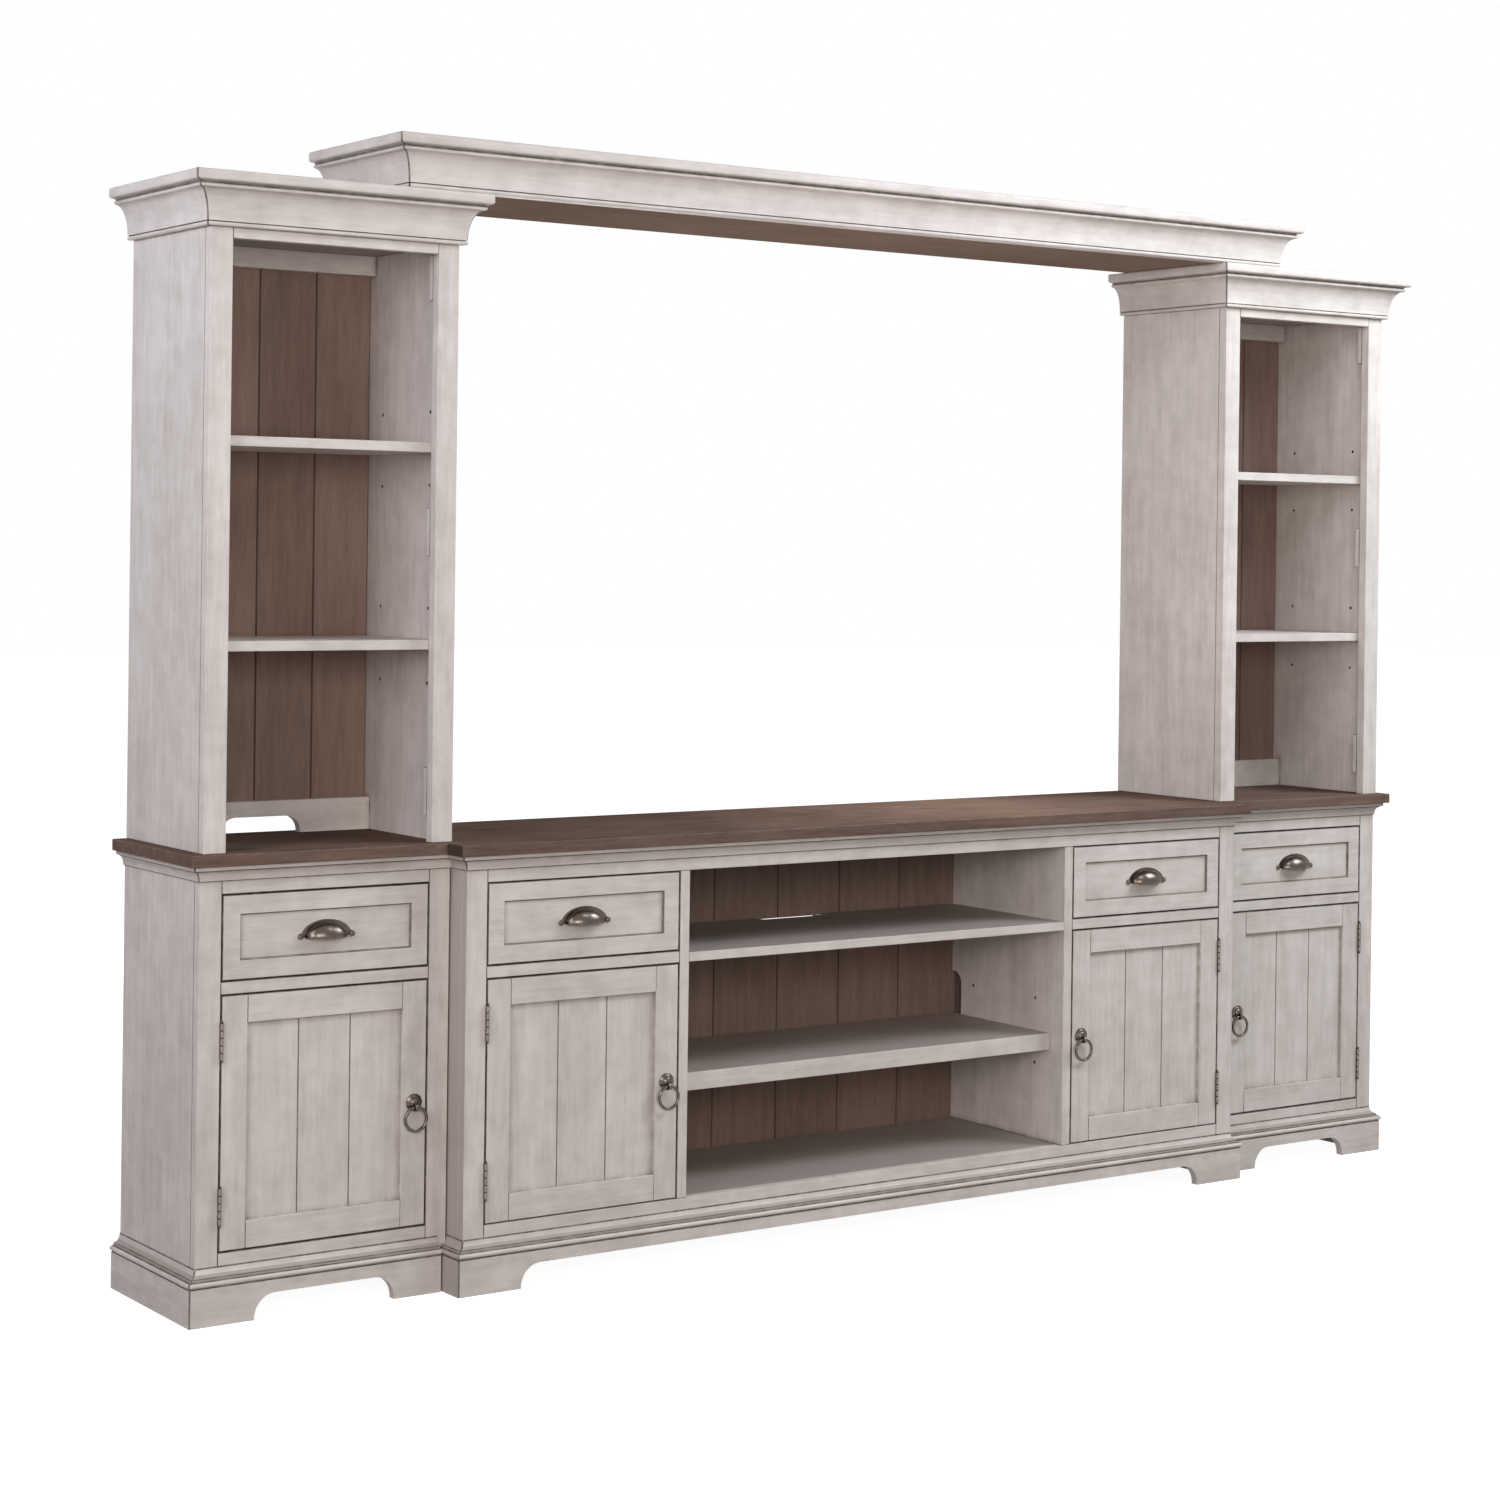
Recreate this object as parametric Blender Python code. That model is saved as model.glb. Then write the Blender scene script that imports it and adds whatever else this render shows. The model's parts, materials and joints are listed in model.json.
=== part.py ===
"""Entertainment center: a TV console between two pier cabinets, two open hutches and a bridge.

X runs from left to right, -Y is the front and Z is up. The origin is on the floor at the middle of the
whole piece. Each sub-part is one closed solid, and what moves hangs under an empty on its joint.
"""

import math

import bmesh
import bpy
from mathutils import Matrix, Vector

# Clearance between pieces that touch
SEAT = 0.0003
# How far a joined board reaches into its neighbour
TENON = 0.004
# How far a cutting shape runs past the face it cuts
OVERRUN = 0.01

# Widths and depths of the six units
CONSOLE_WIDTH = 1.904
CONSOLE_STEP = 0.058
PIER_WIDTH = 0.4915
PIER_DEPTH = 0.3235
UNIT_GAP = 0.0025
HUTCH_WIDTH = 0.487
HUTCH_DEPTH = 0.333
BRIDGE_BEARING = 0.11375
BRIDGE_FRONT_DEPTH = 0.361
BRIDGE_REAR_DEPTH = 0.046

# Heights of the base units, from the floor up
ARCH_HEIGHT = 0.044
PLINTH_HEIGHT = 0.067
BASE_MOULDING_HEIGHT = 0.032
BOTTOM_RAIL_TOP = 0.1205
DOOR_OPENING_HEIGHT = 0.447
MIDDLE_RAIL_HEIGHT = 0.022
DRAWER_OPENING_HEIGHT = 0.152
TOP_RAIL_HEIGHT = 0.0505
TOP_THICKNESS = 0.021
BOTTOM_RAIL_DROP = 0.0605

# Boards
BOARD = 0.019
DIVIDER_BOARD = 0.020
BACK_BOARD = 0.010
FRAME_THICKNESS = 0.019
PIER_STILE = 0.0425
CONSOLE_STILE = 0.043
DIVIDER_STILE = 0.022
CENTRE_OPENING_WIDTH = 0.937
TOP_FRONT_OVERHANG = 0.027
TOP_SIDE_OVERHANG = 0.025
UNIT_CLEARANCE = 0.001

# Mouldings: how far they stand out and how they are divided in height
UNDER_TOP_HEIGHT = 0.0275
UNDER_TOP_PROJECTION = 0.017
UNDER_TOP_FILLET = 0.005
UNDER_TOP_STEP = 0.004
UNDER_TOP_FOOT = 0.003
PLINTH_PROUD = 0.017
BASE_BEAD_RADIUS = 0.0045
BASE_BEAD_PROUD = 0.003
BASE_CAP_FOOT = 0.010
BASE_FILLET = 0.003
CROWN_HEIGHT = 0.0925
CROWN_PROJECTION = 0.048
CROWN_FOOT = 0.009
CROWN_BEAD = 0.007
CROWN_BEAD_PROUD = 0.0025
COVE_HEIGHT = 0.056
COVE_DEPTH = 0.026
CROWN_LIP = 0.009
CROWN_LIP_PROUD = 0.004
CROWN_WALL = 0.019
CROWN_LOWER_BOARD = 0.012
CROWN_TOP_BOARD = 0.015
COVE_STEPS = 8
ROUND_STEPS = 5

# Plinth feet
PIER_OUTER_FOOT = 0.122
PIER_INNER_FOOT = 0.095
CONSOLE_FOOT_WIDTH = 0.130
FOOT_CURVE_WIDTH = 0.040
FOOT_CURVE_STEPS = 8

# Doors and drawers
REVEAL = 0.0025
DOOR_THICKNESS = 0.019
DOOR_FRAME = 0.049
DOOR_PANEL_RECESS = 0.007
DOOR_REAR_RECESS = 0.005
DOOR_PLANKS = 3
GROOVE_WIDTH = 0.004
GROOVE_DEPTH = 0.002
DRAWER_FRONT_THICKNESS = 0.019
DRAWER_FRAME = 0.033
DRAWER_PANEL_RECESS = 0.005
DRAWER_SIDE = 0.012
DRAWER_BOTTOM = 0.006
DRAWER_BOTTOM_LIFT = 0.010
DRAWER_BOX_HEIGHT = 0.125
DRAWER_BOX_LIFT = 0.0035
DRAWER_BOX_SIDE_CLEARANCE = 0.003
DRAWER_BACK_CLEARANCE = 0.012
RUNNER_LEDGE = 0.014
RUNNER_HEIGHT = 0.018

# Console shelves and cable ways
UPPER_SHELF_THICKNESS = 0.018
UPPER_SHELF_NOTCH_WIDTH = 0.162
UPPER_SHELF_NOTCH_DEPTH = 0.030
CABLE_SLOT_HEIGHT = 0.055
CABLE_SLOT_LIP = 0.004
LOWER_SHELF_TOP = 0.349
LOWER_SHELF_THICKNESS = 0.019
LOWER_SHELF_NOSING = 0.035
LOWER_SHELF_NOSING_DEPTH = 0.020
LOWER_SHELF_SETBACK = 0.040
SHELF_END_CLEARANCE = 0.0015
DIVIDER_NOTCH_DEPTH = 0.032
DIVIDER_NOTCH_HEIGHT = 0.178
DIVIDER_NOTCH_BOTTOM = 0.262
DIVIDER_NOTCH_ROUND = 0.026
CONSOLE_PLANK_THICKNESS = 0.012
CONSOLE_PLANK_PITCH = 0.160
PIN_DIAMETER = 0.006
PIN_LENGTH = 0.008
PIN_FRONT_INSET = 0.048
PIN_REAR_INSET = 0.060
PIN_SIDES = 12

# Hutches
HUTCH_HEIGHT = 1.0815
HUTCH_STILE = 0.042
HUTCH_FRAME_THICKNESS = 0.021
HUTCH_TOP_RAIL = 0.018
HUTCH_BACK_RECESS = 0.018
HUTCH_PLANK_THICKNESS = 0.010
HUTCH_PLANK_PITCH = 0.1155
HUTCH_PLANK_SHIFT = 0.005
HUTCH_RAIL_THICKNESS = 0.019
HUTCH_TOP_BACK_RAIL = 0.037
HUTCH_BOTTOM_BACK_RAIL = 0.061
PLANK_LAP = 0.010
OUTLET_WIDTH = 0.184
OUTLET_HEIGHT = 0.032
OUTLET_ROUND = 0.022
HUTCH_SHELF_THICKNESS = 0.018
HUTCH_UPPER_SHELF_TOP = 0.7235
HUTCH_LOWER_SHELF_TOP = 0.366

# Cup pull
CUP_WIDTH = 0.098
CUP_HEIGHT = 0.031
CUP_DEPTH = 0.025
CUP_WALL = 0.002
CUP_EAR_RADIUS = 0.0055
CUP_EAR_THICKNESS = 0.003
CUP_EAR_OVERLAP = 0.004
CUP_DROP = 0.010
CUP_ROWS = 18
CUP_COLUMNS = 7
EAR_SIDES = 14

# Ring pull
ROSETTE_RADIUS = 0.016
ROSETTE_PLATE = 0.003
ROSETTE_DOME_RADIUS = 0.0115
ROSETTE_DOME_HEIGHT = 0.005
ROSETTE_DROP = 0.0015
EYE_RADIUS = 0.0075
EYE_WIDTH = 0.008
EYE_REACH = 0.0105
EYE_DROP = 0.0075
RING_RADIUS = 0.0213
RING_WIRE = 0.0046
ROSETTE_SIDES = 28
RING_SIDES = 32
WIRE_SIDES = 8

# Butt hinges
HINGE_LENGTH = 0.065
HINGE_BARREL = 0.007
HINGE_TIP = 0.003
HINGE_LEAF_THICKNESS = 0.0011
HINGE_LEAF_DEPTH = 0.017
HINGE_END_OFFSET = 0.078
HINGE_SIDES = 14

# Places that follow from the sizes above. The console stands a step further out than the piers
CONSOLE_DEPTH = PIER_DEPTH + CONSOLE_STEP
OVERALL_DEPTH = CONSOLE_DEPTH + TOP_FRONT_OVERHANG
WALL_Y = OVERALL_DEPTH / 2
DOOR_BOTTOM = BOTTOM_RAIL_TOP
DOOR_TOP = DOOR_BOTTOM + DOOR_OPENING_HEIGHT
DRAWER_BOTTOM_Z = DOOR_TOP + MIDDLE_RAIL_HEIGHT
DRAWER_TOP_Z = DRAWER_BOTTOM_Z + DRAWER_OPENING_HEIGHT
BODY_TOP = DRAWER_TOP_Z + TOP_RAIL_HEIGHT
BASE_TOP = BODY_TOP + TOP_THICKNESS
PIER_INNER = CONSOLE_WIDTH / 2 + UNIT_GAP
PIER_OUTER = PIER_INNER + PIER_WIDTH
PIER_MIDDLE = (PIER_INNER + PIER_OUTER) / 2
HUTCH_INNER = PIER_MIDDLE - HUTCH_WIDTH / 2
HUTCH_OUTER = PIER_MIDDLE + HUTCH_WIDTH / 2
HUTCH_TOP = BASE_TOP + HUTCH_HEIGHT
CROWN_TOP = HUTCH_TOP + CROWN_HEIGHT
DIVIDER_INNER = CENTRE_OPENING_WIDTH / 2
DIVIDER_OUTER = DIVIDER_INNER + DIVIDER_STILE
RING_BORE = RING_WIRE / 2 + 2 * SEAT + EYE_WIDTH ** 2 / (8 * RING_RADIUS)

# Finishes: colour, roughness, metallic
PAINT = ((0.62, 0.58, 0.54), 0.55, 0.0)
BROWN_TOP = ((0.12, 0.085, 0.065), 0.5, 0.0)
BROWN_PLANK = ((0.14, 0.105, 0.085), 0.6, 0.0)
RAW_WOOD = ((0.45, 0.36, 0.26), 0.7, 0.0)
NICKEL = ((0.42, 0.39, 0.36), 0.35, 1.0)


def depth(distance):
    """Y of a point that lies this far out from the wall."""
    return WALL_Y - distance


def new_object(name, bm):
    """An object in the scene with this mesh, its faces pointing outwards."""
    bmesh.ops.recalc_face_normals(bm, faces=bm.faces)
    mesh = bpy.data.meshes.new(name)
    bm.to_mesh(mesh)
    bm.free()
    obj = bpy.data.objects.new(name, mesh)
    bpy.context.scene.collection.objects.link(obj)
    return obj


def box(x, y, z):
    """A board between two values along each axis, in either order."""
    low = Vector([min(pair) for pair in (x, y, z)])
    high = Vector([max(pair) for pair in (x, y, z)])
    bm = bmesh.new()
    bmesh.ops.create_cube(bm, size=1)
    scale = Matrix.Diagonal((*(high - low), 1))
    bmesh.ops.transform(bm, matrix=Matrix.Translation((low + high) / 2) @ scale, verts=bm.verts)
    return new_object("board", bm)


def prism(outline, axis, start, end):
    """A flat outline drawn across an axis (0, 1 or 2) and pushed from start to end along it."""
    others = [i for i in range(3) if i != axis]
    bm = bmesh.new()
    rings = []
    for level in (start, end):
        ring = []
        for point in outline:
            place = Vector((0, 0, 0))
            place[axis] = level
            place[others[0]], place[others[1]] = point
            ring.append(bm.verts.new(place))
        rings.append(ring)
    for ring in rings:
        bm.faces.new(ring)
    count = len(outline)
    for i in range(count):
        j = (i + 1) % count
        bm.faces.new((rings[0][i], rings[0][j], rings[1][j], rings[1][i]))
    return new_object("prism", bm)


def sweep(path, profile):
    """A closed profile of (projection, height) carried along a path that moves out with the projection."""
    bm = bmesh.new()
    lines = [[bm.verts.new((x, y, z)) for x, y in path(out)] for out, z in profile]
    count = len(lines)
    for i in range(count):
        here, after = lines[i], lines[(i + 1) % count]
        for j in range(len(here) - 1):
            bm.faces.new((here[j], here[j + 1], after[j + 1], after[j]))
    for end in (0, -1):
        bm.faces.new([line[end] for line in lines])
    return new_object("moulding", bm)


def turned(profile, sides, centre, axis):
    """A round solid: (radius, height) pairs turned about an axis (0, 1 or 2) through the centre."""
    others = [i for i in range(3) if i != axis]
    bm = bmesh.new()
    rings = []
    for radius, height in profile:
        ring = []
        for k in range(sides):
            angle = 2 * math.pi * k / sides
            place = Vector(centre)
            place[axis] += height
            place[others[0]] += radius * math.cos(angle)
            place[others[1]] += radius * math.sin(angle)
            ring.append(bm.verts.new(place))
        rings.append(ring)
    for lower, upper in zip(rings, rings[1:]):
        for k in range(sides):
            m = (k + 1) % sides
            bm.faces.new((lower[k], lower[m], upper[m], upper[k]))
    for ring in (rings[0], rings[-1]):
        bm.faces.new(ring)
    return new_object("turned", bm)


def fuse(name, shapes, cuts=()):
    """One closed solid: all the shapes joined, less the cuts."""
    base = shapes[0]
    steps = [(shape, "UNION") for shape in shapes[1:]] + [(cut, "DIFFERENCE") for cut in cuts]
    for other, operation in steps:
        modifier = base.modifiers.new(operation.lower(), "BOOLEAN")
        modifier.operation = operation
        modifier.solver = "EXACT"
        modifier.object = other
    graph = bpy.context.evaluated_depsgraph_get()
    mesh = bpy.data.meshes.new_from_object(base.evaluated_get(graph))
    mesh.name = name
    base.modifiers.clear()
    base.data = mesh
    base.name = name
    for other, _ in steps:
        bpy.data.objects.remove(other)
    return base


def finish(obj, look):
    """Gives the object its own Principled material."""
    colour, roughness, metallic = look
    material = bpy.data.materials.new(obj.name)
    material.use_nodes = True
    shader = material.node_tree.nodes["Principled BSDF"]
    shader.inputs["Base Color"].default_value = (*colour, 1)
    shader.inputs["Roughness"].default_value = roughness
    shader.inputs["Metallic"].default_value = metallic
    obj.data.materials.clear()
    obj.data.materials.append(material)
    return obj


def rounded(obj, angle=math.radians(35)):
    """Shades a round piece smooth, and leaves its sharp edges sharp."""
    obj.data.shade_smooth()
    obj.data.set_sharp_from_angle(angle=angle)
    return obj


def handle(name, place):
    """An empty that carries a unit, or a moving body on its joint."""
    empty = bpy.data.objects.new(name, None)
    empty.location = place
    bpy.context.scene.collection.objects.link(empty)
    return empty


def hang(obj, parent, origin=None):
    """Puts the object under its parent, with its own origin at a point of the world."""
    origin = Vector(parent.location if origin is None else origin)
    obj.data.transform(Matrix.Translation(-origin))
    obj.location = origin - parent.location
    obj.parent = parent
    return obj


def arc(centre, radii, start, end, steps):
    """Points on a quarter or part of an ellipse, from one angle in degrees to another."""
    points = []
    for k in range(steps + 1):
        angle = math.radians(start + (end - start) * k / steps)
        points.append((centre[0] + radii[0] * math.cos(angle), centre[1] + radii[1] * math.sin(angle)))
    return points


def rounded_cut(low, high, base, top, radius):
    """Outline of a cut that is open at its base and has two round upper corners."""
    left = arc((low + radius, top - radius), (radius, radius), 180, 90, ROUND_STEPS)
    right = arc((high - radius, top - radius), (radius, radius), 90, 0, ROUND_STEPS)
    return [(low, base), *left, *right, (high, base)]


# Moulding profiles, from the bottom up, closed by a straight back inside the body


def under_top_profile(top):
    """Thin foot, cove, step and fillet under a top board."""
    bottom = top - UNDER_TOP_HEIGHT
    cove_top = top - UNDER_TOP_FILLET
    cove_out = UNDER_TOP_PROJECTION - UNDER_TOP_STEP
    centre = (cove_out, bottom)
    radii = (cove_out - UNDER_TOP_FOOT, cove_top - bottom)
    cove = arc(centre, radii, 180, 90, ROUND_STEPS)
    fillet = [(UNDER_TOP_PROJECTION, cove_top), (UNDER_TOP_PROJECTION, top)]
    return [(-TENON, bottom), *cove, *fillet, (-TENON, top)]


def base_profile():
    """Plinth board, fillet, bead and sloping cap round the foot of a base unit."""
    plinth_top = PLINTH_HEIGHT
    bead_middle = plinth_top + BASE_FILLET + BASE_BEAD_RADIUS
    cap_foot = bead_middle + BASE_BEAD_RADIUS
    top = plinth_top + BASE_MOULDING_HEIGHT
    bead_out = PLINTH_PROUD + BASE_BEAD_PROUD - BASE_BEAD_RADIUS
    bead = arc((bead_out, bead_middle), (BASE_BEAD_RADIUS, BASE_BEAD_RADIUS), -90, 90, ROUND_STEPS)
    cap = arc((BASE_CAP_FOOT, top), (BASE_CAP_FOOT, top - cap_foot), -90, -180, ROUND_STEPS)
    return [(SEAT, plinth_top - TENON), (bead_out, plinth_top - TENON), *bead, *cap[:-1], (SEAT, top)]


def crown_profile(bottom):
    """Bead, tall cove, lip and rounded fascia of a cornice."""
    bead_radius = CROWN_BEAD / 2
    bead_out = CROWN_FOOT + CROWN_BEAD_PROUD - bead_radius
    bead = arc((bead_out, bottom + bead_radius), (bead_radius, bead_radius), -90, 90, ROUND_STEPS)
    cove_foot = bottom + CROWN_BEAD
    cove_out = CROWN_FOOT + COVE_DEPTH
    cove = arc((cove_out, cove_foot), (COVE_DEPTH, COVE_HEIGHT), 180, 90, COVE_STEPS)
    lip_top = cove_foot + COVE_HEIGHT + CROWN_LIP
    lip = arc((cove_out, lip_top), (CROWN_LIP_PROUD, CROWN_LIP), -90, 0, ROUND_STEPS)
    top = bottom + CROWN_HEIGHT
    nose_radius = (top - lip_top) / 2
    nose_out = CROWN_PROJECTION - nose_radius
    nose = arc((nose_out, lip_top + nose_radius), (nose_radius, nose_radius), -90, 90, 2 * ROUND_STEPS)
    return [(-CROWN_WALL, bottom), *bead, *cove, *lip, *nose, (-CROWN_WALL, top)]


# Plinths


def foot_arch(inner_left, inner_right):
    """Outline of the opening between two bracket feet, with a quarter hollow at each foot."""
    rise = ARCH_HEIGHT
    left_curve = arc((inner_left + FOOT_CURVE_WIDTH, 0), (FOOT_CURVE_WIDTH, rise), 180, 90, FOOT_CURVE_STEPS)
    right_curve = arc((inner_right - FOOT_CURVE_WIDTH, 0), (FOOT_CURVE_WIDTH, rise), 90, 0, FOOT_CURVE_STEPS)
    return [(inner_left, -OVERRUN), *left_curve, *right_curve, (inner_right, -OVERRUN)]


def plinth(name, path, front_y, arch_ends):
    """Plinth boards and base moulding on one path round a base unit."""
    boards = sweep(path, [(SEAT, 0), (PLINTH_PROUD, 0), (PLINTH_PROUD, PLINTH_HEIGHT), (SEAT, PLINTH_HEIGHT)])
    moulding = sweep(path, base_profile())
    arch = prism(foot_arch(*arch_ends), 1, front_y - PLINTH_PROUD - OVERRUN, front_y + OVERRUN)
    return finish(fuse(name, [boards, moulding], [arch]), PAINT)


def pier_path(side, front_y, inner_stop):
    """Round a pier's outer side and front, as far as the console's returned moulding."""

    def path(out):
        outer = side * (PIER_OUTER + max(out, SEAT))
        return [(outer, WALL_Y), (outer, front_y - out), (side * inner_stop, front_y - out)]

    return path


def console_path(front_y, stop_y):
    """Round the console's front, with a short return at each side."""

    def path(out):
        outer = CONSOLE_WIDTH / 2 + max(out, SEAT)
        return [(-outer, stop_y), (-outer, front_y - out), (outer, front_y - out), (outer, stop_y)]

    return path


# Face frames


def base_frame(name, stiles, doors, front_y, moulding):
    """Stiles, rails and the moulding under the top, as one frame."""
    back_y = front_y + FRAME_THICKNESS
    left, right = min(min(s) for s in stiles), max(max(s) for s in stiles)
    foot = BOTTOM_RAIL_DROP
    boards = [box((left, right), (front_y, back_y), (DRAWER_TOP_Z, BODY_TOP))]
    boards.append(box((left, right), (front_y, back_y), (foot, BOTTOM_RAIL_TOP)))
    boards += [box(stile, (front_y, back_y), (foot, BODY_TOP)) for stile in stiles]
    for opening in doors:
        span = (min(opening) - TENON, max(opening) + TENON)
        boards.append(box(span, (front_y, back_y), (DOOR_TOP, DRAWER_BOTTOM_Z)))
    boards.append(moulding)
    return finish(fuse(name, boards), PAINT)


def pier(side, name):
    """Case, face frame, top and plinth of one pier base. Returns its drawer and door bay."""
    unit = handle(name, (side * PIER_MIDDLE, depth(PIER_DEPTH / 2), 0))
    front_y = depth(PIER_DEPTH)
    inner, outer = side * PIER_INNER, side * PIER_OUTER
    opening = (side * (PIER_INNER + PIER_STILE), side * (PIER_OUTER - PIER_STILE))
    stiles = [(inner, opening[0]), (opening[1], outer)]
    clear_of_console = CONSOLE_WIDTH / 2 + UNDER_TOP_PROJECTION + UNIT_CLEARANCE
    trim = sweep(pier_path(side, front_y, clear_of_console), under_top_profile(BODY_TOP))
    hang(base_frame(name + "_face_frame", stiles, [opening], front_y, trim), unit)

    case_front = front_y + FRAME_THICKNESS + SEAT
    rear = WALL_Y
    room = (side * (PIER_INNER + BOARD), side * (PIER_OUTER - BOARD))
    top = BODY_TOP - SEAT
    boards = [box((inner, room[0]), (case_front, rear), (0, top))]
    boards.append(box((room[1], outer), (case_front, rear), (0, top)))
    span = (side * (PIER_INNER + BOARD - TENON), side * (PIER_OUTER - BOARD + TENON))
    boards.append(box(span, (case_front, rear), (BOTTOM_RAIL_TOP - BOARD, BOTTOM_RAIL_TOP)))
    boards.append(box(span, (rear - BACK_BOARD, rear), (PLINTH_HEIGHT, top)))
    runner_top = DRAWER_BOTTOM_Z + DRAWER_BOX_LIFT - SEAT
    heights = (runner_top - RUNNER_HEIGHT, runner_top)
    ledge = DRAWER_BOX_SIDE_CLEARANCE + RUNNER_LEDGE
    boards.append(box((span[0], opening[0] + side * ledge), (case_front, rear - TENON), heights))
    boards.append(box((opening[1] - side * ledge, span[1]), (case_front, rear - TENON), heights))
    hang(finish(fuse(name + "_case", boards), PAINT), unit)

    top_span = (inner, side * (PIER_OUTER + TOP_SIDE_OVERHANG))
    board = box(top_span, (front_y - TOP_FRONT_OVERHANG, rear), (BODY_TOP + SEAT, BASE_TOP))
    board.name = name + "_top"
    hang(finish(board, BROWN_TOP), unit)

    plinth_stop = CONSOLE_WIDTH / 2 + PLINTH_PROUD + BASE_BEAD_PROUD + UNIT_CLEARANCE
    outer_foot = PIER_OUTER + PLINTH_PROUD - PIER_OUTER_FOOT
    ends = sorted((side * (plinth_stop + PIER_INNER_FOOT), side * outer_foot))
    ring = pier_path(side, front_y, plinth_stop)
    hang(plinth(name + "_plinth", ring, front_y, ends), unit)
    return unit, opening, front_y


def divider_notch():
    """Outline, in Y and Z, of the cable notch in a divider's rear edge."""
    rear = depth(CONSOLE_PLANK_THICKNESS)
    front = rear - DIVIDER_NOTCH_DEPTH
    low, high = DIVIDER_NOTCH_BOTTOM, DIVIDER_NOTCH_BOTTOM + DIVIDER_NOTCH_HEIGHT
    curve = DIVIDER_NOTCH_ROUND
    lower = arc((front + curve, low + curve), (curve, curve), 270, 180, ROUND_STEPS)
    upper = arc((front + curve, high - curve), (curve, curve), 180, 90, ROUND_STEPS)
    return [(rear + OVERRUN, low), *lower, *upper, (rear + OVERRUN, high)]


def shelf_pins(x, direction, y_front, y_rear, z):
    """A front and a rear pin that stand out of a side board under one end of a shelf."""
    pins = []
    for y in (y_front + PIN_FRONT_INSET, y_rear - PIN_REAR_INSET):
        profile = [(PIN_DIAMETER / 2, -direction * TENON), (PIN_DIAMETER / 2, direction * PIN_LENGTH)]
        pins.append(turned(profile, PIN_SIDES, (x, y, z - PIN_DIAMETER / 2 - SEAT), 0))
    return pins


def console_case(front_y):
    """Sides, dividers, floor, drawer runners and shelf pins of the console, as one carcase."""
    case_front = front_y + FRAME_THICKNESS + SEAT
    rear = depth(CONSOLE_PLANK_THICKNESS) - SEAT
    top = BODY_TOP - SEAT
    half = CONSOLE_WIDTH / 2
    middle = (DIVIDER_INNER + DIVIDER_OUTER) / 2
    divider = (middle - DIVIDER_BOARD / 2, middle + DIVIDER_BOARD / 2)
    floor_span = half - BOARD + TENON
    boards = [box((-floor_span, floor_span), (case_front, rear), (BOTTOM_RAIL_TOP - BOARD, BOTTOM_RAIL_TOP))]
    runner_top = DRAWER_BOTTOM_Z + DRAWER_BOX_LIFT - SEAT
    heights = (runner_top - RUNNER_HEIGHT, runner_top)
    ledge = DRAWER_BOX_SIDE_CLEARANCE + RUNNER_LEDGE
    floor_top = BOTTOM_RAIL_TOP
    for side in (-1, 1):
        boards.append(box((side * (half - BOARD), side * half), (case_front, WALL_Y), (0, top)))
        edges = (side * divider[0], side * divider[1])
        boards.append(box(edges, (case_front, rear), (floor_top - TENON, top)))
        inner = (side * (divider[1] - TENON), side * (DIVIDER_OUTER + ledge))
        outer = (side * (half - CONSOLE_STILE - ledge), side * (half - BOARD + TENON))
        boards.append(box(inner, (case_front, rear), heights))
        boards.append(box(outer, (case_front, rear), heights))
        shelf_front = front_y + LOWER_SHELF_SETBACK
        underside = LOWER_SHELF_TOP - LOWER_SHELF_THICKNESS
        boards += shelf_pins(side * divider[0], -side, shelf_front, rear, underside)
    notches = []
    for side in (-1, 1):
        start, end = side * (divider[0] - OVERRUN), side * (divider[1] + OVERRUN)
        notches.append(prism(divider_notch(), 0, start, end))
    return finish(fuse("console_case", boards, notches), PAINT), divider[0]


def groove(middle, face_y):
    """Outline of a V groove in a face that looks to the front."""
    half = GROOVE_WIDTH / 2
    open_y = face_y - SEAT
    return [(middle - half, open_y), (middle + half, open_y), (middle, face_y + GROOVE_DEPTH)]


def planks(name, x, y, z, pitch, centre, cuts=()):
    """A back of upright boards with a V groove between each two, cut in its front face."""
    left, right = x
    front, rear = y
    grooves = list(cuts)
    first = math.ceil((left - centre) / pitch)
    last = math.floor((right - centre) / pitch)
    for k in range(first, last + 1):
        middle = centre + k * pitch
        if min(middle - left, right - middle) < GROOVE_WIDTH:
            continue
        grooves.append(prism(groove(middle, front), 2, z[0] - OVERRUN, z[1] + OVERRUN))
    return finish(fuse(name, [box(x, y, z)], grooves), BROWN_PLANK)


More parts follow.
